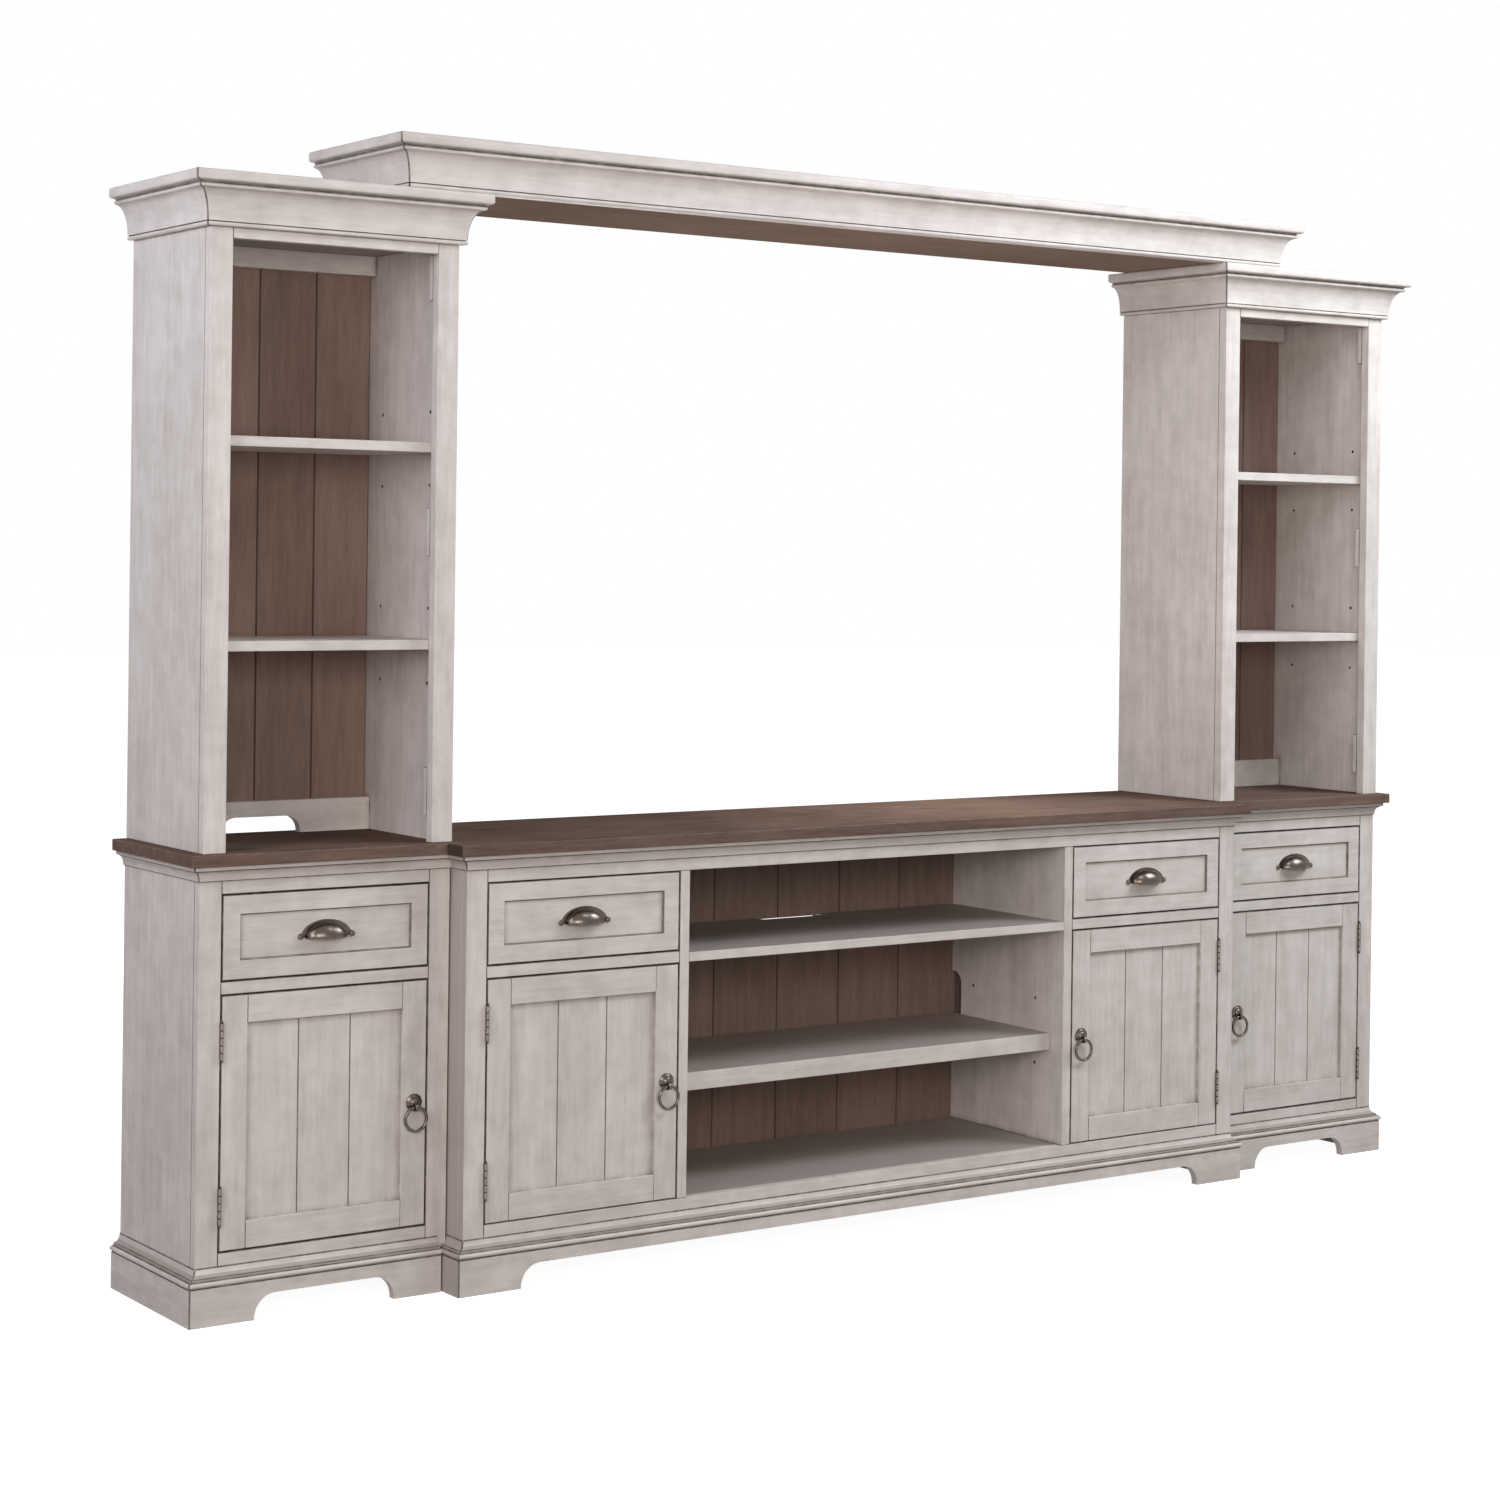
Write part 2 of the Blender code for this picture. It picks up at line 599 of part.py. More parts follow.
def console():
    """The TV console without its doors and drawers. Returns its two drawer and door bays."""
    unit = handle("console", (0, depth(CONSOLE_DEPTH / 2), 0))
    front_y = depth(CONSOLE_DEPTH)
    pier_front = depth(PIER_DEPTH)
    half = CONSOLE_WIDTH / 2
    openings = [(side * DIVIDER_OUTER, side * (half - CONSOLE_STILE)) for side in (-1, 1)]
    stiles = []
    for side in (-1, 1):
        stiles.append((side * (half - CONSOLE_STILE), side * half))
        stiles.append((side * DIVIDER_INNER, side * DIVIDER_OUTER))
    trim_stop = pier_front - UNIT_CLEARANCE
    trim = sweep(console_path(front_y, trim_stop), under_top_profile(BODY_TOP))
    frame = base_frame("console_face_frame", stiles, openings, front_y, trim)
    hang(frame, unit)

    case, divider_face = console_case(front_y)
    hang(case, unit)

    slot_half = UPPER_SHELF_NOTCH_WIDTH / 2
    slot_top = DOOR_TOP + UPPER_SHELF_THICKNESS + CABLE_SLOT_LIP
    slot_y = (depth(CONSOLE_PLANK_THICKNESS) - OVERRUN, WALL_Y + OVERRUN)
    slot = box((-slot_half, slot_half), slot_y, (slot_top - CABLE_SLOT_HEIGHT, slot_top))
    inside = half - BOARD - SEAT
    back_x = (-inside, inside)
    back_y = (depth(CONSOLE_PLANK_THICKNESS), WALL_Y)
    back_z = (PLINTH_HEIGHT, BODY_TOP - SEAT)
    hang(planks("console_back_panel", back_x, back_y, back_z, CONSOLE_PLANK_PITCH, 0, [slot]), unit)

    edge = front_y - TOP_FRONT_OVERHANG
    wide = half + TOP_SIDE_OVERHANG
    step_y = pier_front - TOP_FRONT_OVERHANG - UNIT_CLEARANCE
    narrow = PIER_INNER - SEAT
    outline = [(-wide, edge), (wide, edge), (wide, step_y), (narrow, step_y)]
    outline += [(narrow, WALL_Y), (-narrow, WALL_Y), (-narrow, step_y), (-wide, step_y)]
    top = prism(outline, 2, BODY_TOP + SEAT, BASE_TOP)
    top.name = "console_top"
    hang(finish(top, BROWN_TOP), unit)

    ring = console_path(front_y, trim_stop)
    foot_end = half + PLINTH_PROUD - CONSOLE_FOOT_WIDTH
    hang(plinth("console_plinth", ring, front_y, (-foot_end, foot_end)), unit)

    hang(upper_shelf(front_y, divider_face), unit)
    hang(lower_shelf(front_y, divider_face), unit)
    return unit, openings, front_y


def upper_shelf(front_y, divider_face):
    """The fixed shelf, flush with the face frame and notched at the back for cables."""
    rear = depth(CONSOLE_PLANK_THICKNESS) - SEAT
    z = (DOOR_TOP, DOOR_TOP + UPPER_SHELF_THICKNESS)
    half_front = DIVIDER_INNER - SEAT
    half_rear = divider_face - SEAT
    frame_back = front_y + FRAME_THICKNESS + SEAT
    board = box((-half_rear, half_rear), (frame_back, rear), z)
    lip = box((-half_front, half_front), (front_y, frame_back + TENON), z)
    half_notch = UPPER_SHELF_NOTCH_WIDTH / 2
    notch_front = rear - UPPER_SHELF_NOTCH_DEPTH
    curve = UPPER_SHELF_NOTCH_DEPTH / 2
    left = arc((-half_notch + curve, notch_front + curve), (curve, curve), 180, 270, ROUND_STEPS)
    right = arc((half_notch - curve, notch_front + curve), (curve, curve), 270, 360, ROUND_STEPS)
    outline = [(-half_notch, rear + OVERRUN), *left, *right, (half_notch, rear + OVERRUN)]
    notch = prism(outline, 2, z[0] - OVERRUN, z[1] + OVERRUN)
    return finish(fuse("console_upper_shelf", [board, lip], [notch]), PAINT)


def lower_shelf(front_y, divider_face):
    """The adjustable shelf, with a deep nosing along its front edge."""
    rear = depth(CONSOLE_PLANK_THICKNESS) - SHELF_END_CLEARANCE
    half = divider_face - SHELF_END_CLEARANCE
    front = front_y + LOWER_SHELF_SETBACK
    nose_back = front + LOWER_SHELF_NOSING_DEPTH
    top = LOWER_SHELF_TOP
    board = box((-half, half), (front, rear), (top - LOWER_SHELF_THICKNESS, top))
    nosing = box((-half, half), (front, nose_back), (top - LOWER_SHELF_NOSING, top))
    return finish(fuse("console_lower_shelf", [board, nosing]), PAINT)


# Doors


def door(name, opening, front_y, hinge_x, parent):
    """A framed door with a panel of upright boards."""
    left, right = min(opening) + REVEAL, max(opening) - REVEAL
    bottom, top = DOOR_BOTTOM + REVEAL, DOOR_TOP - REVEAL
    rear_y = front_y + DOOR_THICKNESS
    leaf = box((left, right), (front_y, rear_y), (bottom, top))
    field_x = (left + DOOR_FRAME, right - DOOR_FRAME)
    field_z = (bottom + DOOR_FRAME, top - DOOR_FRAME)
    panel_y = front_y + DOOR_PANEL_RECESS
    cuts = [box(field_x, (front_y - OVERRUN, panel_y), field_z)]
    cuts.append(box(field_x, (rear_y - DOOR_REAR_RECESS, rear_y + OVERRUN), field_z))
    pitch = (field_x[1] - field_x[0]) / DOOR_PLANKS
    for k in range(1, DOOR_PLANKS):
        cuts.append(prism(groove(field_x[0] + k * pitch, panel_y), 2, *field_z))
    return hang(finish(fuse(name + "_door", [leaf], cuts), PAINT), parent)


def ring_eye(x, face_y, z):
    """The lug that the ring hangs in: a short round bar across the door's face, bored through."""
    centre_y = face_y - EYE_REACH
    half = EYE_WIDTH / 2
    lug = turned([(EYE_RADIUS, -half), (EYE_RADIUS, half)], ROSETTE_SIDES, (x, centre_y, z), 0)
    neck_z = (z, z + EYE_RADIUS)
    neck = box((x - half, x + half), (centre_y, face_y - ROSETTE_PLATE + TENON / 2), neck_z)
    past = half + OVERRUN
    bore = turned([(RING_BORE, -past), (RING_BORE, past)], ROSETTE_SIDES, (x, centre_y, z), 0)
    return [lug, neck], bore


def ring_pull(name, x, face_y, z, parent):
    """Rosette with its eye, and the ring that swings in it."""
    plate_y = face_y - SEAT
    half_turns = arc((0, ROSETTE_PLATE), (ROSETTE_DOME_RADIUS, ROSETTE_DOME_HEIGHT), 0, 75, ROUND_STEPS)
    rim = ROSETTE_PLATE / 2
    profile = [(ROSETTE_RADIUS, 0), (ROSETTE_RADIUS, -rim), (ROSETTE_RADIUS - rim, -ROSETTE_PLATE)]
    profile += [(radius, -height) for radius, height in half_turns]
    rosette = turned(profile, ROSETTE_SIDES, (x, plate_y, z), 1)
    eye_z = z - EYE_DROP
    eye, bore = ring_eye(x, plate_y, eye_z)
    hang(finish(rounded(fuse(name + "_ring_rosette", [rosette, *eye], [bore])), NICKEL), parent)

    pivot = Vector((x, plate_y - EYE_REACH, eye_z))
    bm = bmesh.new()
    loops = []
    for i in range(RING_SIDES):
        turn = 2 * math.pi * i / RING_SIDES
        loop = []
        for k in range(WIRE_SIDES):
            bend = 2 * math.pi * k / WIRE_SIDES
            radius = RING_RADIUS + RING_WIRE / 2 * math.cos(bend)
            offset = RING_WIRE / 2 * math.sin(bend)
            centre = pivot - Vector((0, 0, RING_RADIUS))
            place = centre + Vector((radius * math.sin(turn), offset, radius * math.cos(turn)))
            loop.append(bm.verts.new(place))
        loops.append(loop)
    for i in range(RING_SIDES):
        here, after = loops[i], loops[(i + 1) % RING_SIDES]
        for k in range(WIRE_SIDES):
            m = (k + 1) % WIRE_SIDES
            bm.faces.new((here[k], here[m], after[m], after[k]))
    ring = rounded(new_object(name + "_ring", bm))
    hang(finish(ring, NICKEL), parent, pivot)


def hinge(name, x, axis_y, face_y, middle_z, outward, parent):
    """A butt hinge: barrel with its pin's tips, and the leaf that is fixed to the stile."""
    barrel = HINGE_BARREL / 2
    half = HINGE_LENGTH / 2
    tip = barrel / 2
    profile = [(tip, -half - HINGE_TIP), (barrel, -half), (barrel, half), (tip, half + HINGE_TIP)]
    round_part = turned(profile, HINGE_SIDES, (x, axis_y, middle_z), 2)
    stile_face = x + outward * (REVEAL / 2 - SEAT)
    leaf_x = (stile_face, stile_face - outward * HINGE_LEAF_THICKNESS)
    leaf = box(leaf_x, (axis_y, face_y + HINGE_LEAF_DEPTH), (middle_z - half, middle_z + half))
    return hang(finish(rounded(fuse(name, [round_part, leaf])), NICKEL), parent)


def door_bay(name, opening, front_y, unit, hinged_left):
    """A door with its ring pull and hinges, all on the hinge line."""
    left, right = min(opening), max(opening)
    outward = -1 if hinged_left else 1
    stile_x = left if hinged_left else right
    hinge_x = stile_x - outward * REVEAL / 2
    axis_y = front_y - HINGE_BARREL / 2 - SEAT
    bottom, top = DOOR_BOTTOM + REVEAL, DOOR_TOP - REVEAL
    body = handle(name + "_door_body", (hinge_x, axis_y, bottom))
    door(name, opening, front_y, hinge_x, body)
    free_edge = (right if hinged_left else left) + outward * REVEAL
    pull_x = free_edge + outward * DOOR_FRAME / 2
    pull_z = (bottom + top) / 2 + ROSETTE_DROP
    ring_pull(name, pull_x, front_y, pull_z, body)
    for label, z in (("_upper_hinge", top - HINGE_END_OFFSET), ("_lower_hinge", bottom + HINGE_END_OFFSET)):
        hinge(name + label, hinge_x, axis_y, front_y, z, outward, unit)


# Drawers


def cup_pull(name, x, face_y, z, parent):
    """A half dome that is open below and behind, with a screw ear at each end."""
    face_y -= SEAT
    outer = (CUP_WIDTH / 2, CUP_DEPTH, CUP_HEIGHT)
    inner = tuple(size - CUP_WALL for size in outer)
    bm = bmesh.new()
    shells = []
    for a, d, h in (outer, inner):
        left = bm.verts.new((x - a, face_y, z))
        right = bm.verts.new((x + a, face_y, z))
        rows = []
        for i in range(1, CUP_ROWS):
            along = math.pi * i / CUP_ROWS
            row = []
            for k in range(CUP_COLUMNS + 1):
                down = math.pi / 2 * k / CUP_COLUMNS
                out = d * math.sin(along) * math.sin(down)
                up = h * math.sin(along) * math.cos(down)
                row.append(bm.verts.new((x + a * math.cos(along), face_y - out, z + up)))
            rows.append(row)
        for here, after in zip(rows, rows[1:]):
            for k in range(CUP_COLUMNS):
                bm.faces.new((here[k], here[k + 1], after[k + 1], after[k]))
        for k in range(CUP_COLUMNS):
            bm.faces.new((right, rows[0][k], rows[0][k + 1]))
            bm.faces.new((left, rows[-1][k], rows[-1][k + 1]))
        shells.append((left, right, rows))
    (left_out, right_out, rows_out), (left_in, right_in, rows_in) = shells
    for k in (0, CUP_COLUMNS):
        rim_out = [right_out, *(row[k] for row in rows_out), left_out]
        rim_in = [right_in, *(row[k] for row in rows_in), left_in]
        for i in range(len(rim_out) - 1):
            bm.faces.new((rim_out[i], rim_out[i + 1], rim_in[i + 1], rim_in[i]))
    cup = new_object(name, bm)
    ears = []
    for side in (-1, 1):
        middle = x + side * (CUP_WIDTH / 2 + CUP_EAR_RADIUS - CUP_EAR_OVERLAP)
        profile = [(CUP_EAR_RADIUS, 0), (CUP_EAR_RADIUS, -CUP_EAR_THICKNESS)]
        ears.append(turned(profile, EAR_SIDES, (middle, face_y, z + CUP_EAR_RADIUS / 2), 1))
    return hang(finish(rounded(fuse(name, [cup, *ears])), NICKEL), parent)


def drawer(name, opening, front_y, rear_y):
    """Panelled front, open box and cup pull of one drawer."""
    left, right = min(opening) + REVEAL, max(opening) - REVEAL
    bottom, top = DRAWER_BOTTOM_Z + REVEAL, DRAWER_TOP_Z - REVEAL
    back_y = front_y + DRAWER_FRONT_THICKNESS
    middle = (left + right) / 2
    body = handle(name + "_drawer_body", (middle, front_y, (bottom + top) / 2))
    panel = box((left, right), (front_y, back_y), (bottom, top))
    field_x = (left + DRAWER_FRAME, right - DRAWER_FRAME)
    field_z = (bottom + DRAWER_FRAME, top - DRAWER_FRAME)
    panel_y = front_y + DRAWER_PANEL_RECESS
    recess = box(field_x, (front_y - OVERRUN, panel_y), field_z)
    hang(finish(fuse(name + "_drawer_front", [panel], [recess]), PAINT), body)

    box_left = min(opening) + DRAWER_BOX_SIDE_CLEARANCE
    box_right = max(opening) - DRAWER_BOX_SIDE_CLEARANCE
    box_front, box_rear = back_y + SEAT, rear_y - DRAWER_BACK_CLEARANCE
    box_bottom = DRAWER_BOTTOM_Z + DRAWER_BOX_LIFT
    box_top = box_bottom + DRAWER_BOX_HEIGHT
    shell = box((box_left, box_right), (box_front, box_rear), (box_bottom, box_top))
    room_x = (box_left + DRAWER_SIDE, box_right - DRAWER_SIDE)
    room_y = (box_front + DRAWER_SIDE, box_rear - DRAWER_SIDE)
    floor_top = box_bottom + DRAWER_BOTTOM_LIFT + DRAWER_BOTTOM
    hollow = box(room_x, room_y, (floor_top, box_top + OVERRUN))
    under = box(room_x, room_y, (box_bottom - OVERRUN, box_bottom + DRAWER_BOTTOM_LIFT))
    hang(finish(fuse(name + "_drawer_box", [shell], [hollow, under]), RAW_WOOD), body)

    pull_z = (bottom + top) / 2 - CUP_DROP
    cup_pull(name + "_cup_pull", middle, panel_y, pull_z, body)


# Hutches


def cornice(x, front_y, rear_y, bottom):
    """Cornice moulding with a mitred return at each side, and the lower board inside it."""
    left, right = x

    def path(out):
        west, east, front = left - out, right + out, front_y - out
        return [(west, rear_y), (west, front), (east, front), (east, rear_y)]

    inset = CROWN_WALL - TENON
    room_x = (left + inset, right - inset)
    room_y = (front_y + inset, rear_y)
    board = box(room_x, room_y, (bottom, bottom + CROWN_LOWER_BOARD))
    return [sweep(path, crown_profile(bottom)), board], room_x, room_y


def crown(name, x, front_y, bottom):
    """The cornice of a hutch, closed by a board at the top."""
    shapes, room_x, room_y = cornice(x, front_y, WALL_Y, bottom)
    top = bottom + CROWN_HEIGHT
    shapes.append(box(room_x, room_y, (top - CROWN_TOP_BOARD, top)))
    return finish(fuse(name, shapes), PAINT)


def hutch_case(name, side, front_y):
    """Sides, back rails and shelf pins of a hutch. The crown's lower board is its ceiling."""
    case_front = front_y + HUTCH_FRAME_THICKNESS + SEAT
    bottom, top = BASE_TOP + SEAT, HUTCH_TOP - SEAT
    inner, outer = HUTCH_INNER, HUTCH_OUTER
    room = (inner + BOARD, outer - BOARD)
    boards = []
    for edges in ((inner, room[0]), (room[1], outer)):
        boards.append(box((side * edges[0], side * edges[1]), (case_front, WALL_Y), (bottom, top)))
    span = (side * (room[0] - TENON), side * (room[1] + TENON))
    plank_front = depth(HUTCH_BACK_RECESS + HUTCH_PLANK_THICKNESS)
    rail_y = (plank_front - SEAT - HUTCH_RAIL_THICKNESS, plank_front - SEAT)
    boards.append(box(span, rail_y, (HUTCH_TOP - HUTCH_TOP_BACK_RAIL, top)))
    boards.append(box(span, rail_y, (bottom, bottom + HUTCH_BOTTOM_BACK_RAIL)))
    for shelf_top in (HUTCH_UPPER_SHELF_TOP, HUTCH_LOWER_SHELF_TOP):
        underside = BASE_TOP + shelf_top - HUTCH_SHELF_THICKNESS
        for x, direction in ((room[0], 1), (room[1], -1)):
            boards += shelf_pins(side * x, side * direction, case_front, rail_y[0], underside)
    middle = side * PIER_MIDDLE
    ends = (middle - OUTLET_WIDTH / 2, middle + OUTLET_WIDTH / 2)
    outline = rounded_cut(*ends, bottom - OVERRUN, bottom + OUTLET_HEIGHT, OUTLET_ROUND)
    outlet = prism(outline, 1, rail_y[0] - OVERRUN, rail_y[1] + OVERRUN)
    return finish(fuse(name, boards, [outlet]), PAINT), rail_y[0]


def hutch_frame(name, side, front_y):
    """Two stiles and the narrow top rail of a hutch."""
    back_y = front_y + HUTCH_FRAME_THICKNESS
    bottom, top = BASE_TOP + SEAT, HUTCH_TOP - SEAT
    stiles = [(HUTCH_INNER, HUTCH_INNER + HUTCH_STILE), (HUTCH_OUTER - HUTCH_STILE, HUTCH_OUTER)]
    boards = [box((side * a, side * b), (front_y, back_y), (bottom, top)) for a, b in stiles]
    rail_x = (side * (HUTCH_INNER + TENON), side * (HUTCH_OUTER - TENON))
    boards.append(box(rail_x, (front_y, back_y), (HUTCH_TOP - HUTCH_TOP_RAIL, top)))
    return finish(fuse(name, boards), PAINT)


def hutch(side, name):
    """An open hutch with two shelves, standing on a pier's top."""
    front_y = depth(HUTCH_DEPTH)
    unit = handle(name, (side * PIER_MIDDLE, depth(HUTCH_DEPTH / 2), BASE_TOP))
    hang(hutch_frame(name + "_face_frame", side, front_y), unit)
    case, rail_front = hutch_case(name + "_case", side, front_y)
    hang(case, unit)

    room = sorted((side * (HUTCH_INNER + BOARD + SEAT), side * (HUTCH_OUTER - BOARD - SEAT)))
    plank_y = (depth(HUTCH_BACK_RECESS + HUTCH_PLANK_THICKNESS), depth(HUTCH_BACK_RECESS))
    plank_z = (BASE_TOP + HUTCH_BOTTOM_BACK_RAIL - PLANK_LAP, HUTCH_TOP - SEAT)
    middle = side * PIER_MIDDLE - HUTCH_PLANK_SHIFT
    hang(planks(name + "_back_panel", room, plank_y, plank_z, HUTCH_PLANK_PITCH, middle), unit)

    shelf_x = (room[0] + SHELF_END_CLEARANCE, room[1] - SHELF_END_CLEARANCE)
    shelf_y = (front_y + HUTCH_FRAME_THICKNESS + SHELF_END_CLEARANCE, rail_front - SHELF_END_CLEARANCE)
    for label, top in (("_upper_shelf", HUTCH_UPPER_SHELF_TOP), ("_lower_shelf", HUTCH_LOWER_SHELF_TOP)):
        shelf_z = (BASE_TOP + top - HUTCH_SHELF_THICKNESS, BASE_TOP + top)
        shelf = box(shelf_x, shelf_y, shelf_z)
        shelf.name = name + label
        hang(finish(shelf, PAINT), unit)

    body_x = sorted((side * HUTCH_INNER, side * HUTCH_OUTER))
    hang(crown(name + "_crown", body_x, front_y, HUTCH_TOP), unit)


def bridge():
    """The cornice that lies across both hutches: a box that is open at the top."""
    half = HUTCH_INNER + BRIDGE_BEARING
    unit = handle("bridge", (0, depth(BRIDGE_FRONT_DEPTH), CROWN_TOP))
    front_y, rear_y = depth(BRIDGE_FRONT_DEPTH), depth(BRIDGE_REAR_DEPTH)
    bottom = CROWN_TOP + SEAT
    shapes, room_x, _ = cornice((-half, half), front_y, rear_y, bottom)
    rear_rail = box(room_x, (rear_y - CROWN_WALL, rear_y), (bottom, bottom + CROWN_HEIGHT))
    hang(finish(fuse("bridge_cornice", [*shapes, rear_rail]), PAINT), unit)


def main():
    for obj in list(bpy.data.objects):
        bpy.data.objects.remove(obj)
    bays = []
    for side, word in ((-1, "left"), (1, "right")):
        unit, opening, front_y = pier(side, word + "_pier")
        bays.append((word + "_pier", opening, front_y, unit, depth(BACK_BOARD)))
        hutch(side, word + "_hutch")
    unit, openings, front_y = console()
    for opening, word in zip(openings, ("left", "right")):
        bays.append(("console_" + word, opening, front_y, unit, depth(CONSOLE_PLANK_THICKNESS)))
    for name, opening, front_y, unit, rear_y in bays:
        drawer(name, opening, front_y, rear_y)
        door_bay(name, opening, front_y, unit, hinged_left="left" in name)
    bridge()


main()
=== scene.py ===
"""Looks of a wall unit for a television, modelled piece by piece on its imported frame.

Console, two pier cabinets, two hutches and a bridge in antique white paint with a grey-brown glaze,
with brown stained tops and back boards and antique nickel pulls. Run as a script in Blender.
"""

import json
import math

import bmesh
import bpy
import numpy as np
from bpy.props import FloatProperty, FloatVectorProperty, IntProperty, PointerProperty
from bpy.types import Operator, Panel, PropertyGroup
from mathutils import Matrix, Vector

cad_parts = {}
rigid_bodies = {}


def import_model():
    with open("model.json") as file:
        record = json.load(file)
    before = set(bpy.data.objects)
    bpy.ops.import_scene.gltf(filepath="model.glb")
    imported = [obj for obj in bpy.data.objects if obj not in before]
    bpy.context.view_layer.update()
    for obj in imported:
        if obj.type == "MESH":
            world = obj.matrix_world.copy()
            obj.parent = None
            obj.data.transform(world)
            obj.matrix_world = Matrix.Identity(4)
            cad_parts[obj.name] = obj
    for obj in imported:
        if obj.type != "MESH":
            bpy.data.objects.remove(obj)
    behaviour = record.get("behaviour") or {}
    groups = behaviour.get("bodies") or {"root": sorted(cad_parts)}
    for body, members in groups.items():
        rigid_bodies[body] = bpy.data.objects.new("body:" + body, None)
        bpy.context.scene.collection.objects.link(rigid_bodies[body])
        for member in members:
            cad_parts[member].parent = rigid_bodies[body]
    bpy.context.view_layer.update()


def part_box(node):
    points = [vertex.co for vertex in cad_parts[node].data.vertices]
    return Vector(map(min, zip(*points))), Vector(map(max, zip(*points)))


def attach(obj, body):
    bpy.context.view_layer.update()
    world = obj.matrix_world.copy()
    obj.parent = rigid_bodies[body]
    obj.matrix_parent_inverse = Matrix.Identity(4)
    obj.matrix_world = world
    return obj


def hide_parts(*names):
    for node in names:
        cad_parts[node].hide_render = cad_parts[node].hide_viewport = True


bl_info = {
    "name": "Wall Unit Looks",
    "version": (1, 0, 0),
    "blender": (4, 5, 0),
    "location": "View3D > Sidebar > Wall Unit",
    "description": "Models and finishes a console, two piers, two hutches and a bridge",
    "category": "Object",
}

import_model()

# Clearances and small sizes of the joinery that the frame's boxes don't give
SEAT = 0.0003
REVEAL = 0.0025
PIER_BAYS = ("left_pier", "right_pier")
CONSOLE_BAYS = ("console_left", "console_right")
BAYS = PIER_BAYS + CONSOLE_BAYS
FRAME_THICKNESS = 0.019
HUTCH_FRAME_THICKNESS = 0.021
BOARD = 0.019
DIVIDER_BOARD = 0.020
CENTRE_HALF = 0.4685
DIVIDER_STILE = 0.022
BOTTOM_RAIL_TOP = 0.1205
PANEL_FRAME = 0.049
PANEL_RECESS = 0.007
PANEL_REAR_RECESS = 0.005
DRAWER_FIELD = 0.033

# Slots that every wooden piece has: grain upright, level or front to back, then eased edges and joints, where the joint
# glaze also paints shade in reveals and quirks
UPRIGHT, LEVEL, DEEP, EDGE, JOINT_AND_SHADE, SOFT, SHADE, SHADOWED = range(8)
# Painted pieces also have thin glaze, which also paints shade in the reveals, and two darker paints that paint shade:
# paint_shade on the console's side returns (and a darker band on the base moulding) and paint_deep_shade on shelf tops,
# the bay floor and hutch ceilings
PAINT = ("paint_upright", "paint_level", "paint_deep", "paint_edge", "glaze_line_and_shade", "glaze_soft_and_shade")
PAINT += ("paint_shade", "paint_deep_shade")
STAIN = ("stain_upright", "stain_level", "stain_deep", "stain_edge", "stain_joint")
RAW = ("raw_upright", "raw_level", "raw_deep", "raw_edge", "raw_joint")
METAL = ("nickel", "nickel_recess")
HINGE_METAL = ("nickel_light", "nickel_recess")

# Selecting and shaping


def tidy_selection():
    """Object mode, with nothing selected."""
    if bpy.context.mode != "OBJECT":
        bpy.ops.object.mode_set(mode="OBJECT")
    bpy.ops.object.select_all(action="DESELECT")


def edit(obj):
    """Edit mode on this object alone."""
    tidy_selection()
    obj.select_set(True)
    bpy.context.view_layer.objects.active = obj
    bpy.ops.object.mode_set(mode="EDIT")


def begin(name, slots):
    """Names the primitive that was just added, fixes its place in its mesh and gives it its finishes."""
    obj = bpy.context.active_object
    obj.name = obj.data.name = name
    bpy.ops.object.transform_apply(location=True, rotation=True, scale=True)
    for slot in slots:
        obj.data.materials.append(bpy.data.materials[slot])
    return obj


def select_faces(obj, test):
    """In edit mode, selects the faces whose middle and normal pass the test."""
    bpy.ops.mesh.select_mode(type="FACE")
    bpy.ops.mesh.select_all(action="DESELECT")
    mesh = bmesh.from_edit_mesh(obj.data)
    for face in mesh.faces:
        if test(face.calc_center_median(), face.normal):
            face.select_set(True)
    bmesh.update_edit_mesh(obj.data)


def select_edges(obj, test):
    """In edit mode, selects the edges whose two ends pass the test."""
    bpy.ops.mesh.select_mode(type="EDGE")
    bpy.ops.mesh.select_all(action="DESELECT")
    mesh = bmesh.from_edit_mesh(obj.data)
    for line in mesh.edges:
        if test(line.verts[0].co, line.verts[1].co):
            line.select_set(True)
    bmesh.update_edit_mesh(obj.data)


def ease_edges(width, steps=2, slot=EDGE):
    """Bevels what is selected in edit mode."""
    bpy.ops.mesh.bevel(offset=width, segments=steps, affect="EDGES", material=slot, clamp_overlap=True)


def add_cube(low, high):
    """A cube primitive between two corners."""
    middle = [(a + b) / 2 for a, b in zip(low, high)]
    size = [abs(b - a) for a, b in zip(low, high)]
    bpy.ops.mesh.primitive_cube_add(size=1, location=middle, scale=size)


def cutter(low, high):
    """A plain block that only cuts."""
    tidy_selection()
    add_cube(low, high)
    return begin("cutter", ())


def outline_cutter(points, axis, start, end):
    """A cutting block with this outline across an axis (0, 1 or 2)."""
    tidy_selection()
    bpy.ops.mesh.primitive_circle_add(vertices=len(points), fill_type="NGON")
    obj = begin("cutter", ())
    others = [i for i in range(3) if i != axis]
    edit(obj)
    mesh = bmesh.from_edit_mesh(obj.data)
    mesh.verts.ensure_lookup_table()
    for vert, point in zip(mesh.verts, points):
        vert.co[axis] = start
        vert.co[others[0]], vert.co[others[1]] = point
    bmesh.update_edit_mesh(obj.data)
    bpy.ops.mesh.select_all(action="SELECT")
    push = [0, 0, 0]
    push[axis] = end - start
    bpy.ops.mesh.extrude_region_move(TRANSFORM_OT_translate={"value": push})
    bpy.ops.mesh.select_all(action="SELECT")
    bpy.ops.mesh.normals_make_consistent(inside=False)
    tidy_selection()
    return obj


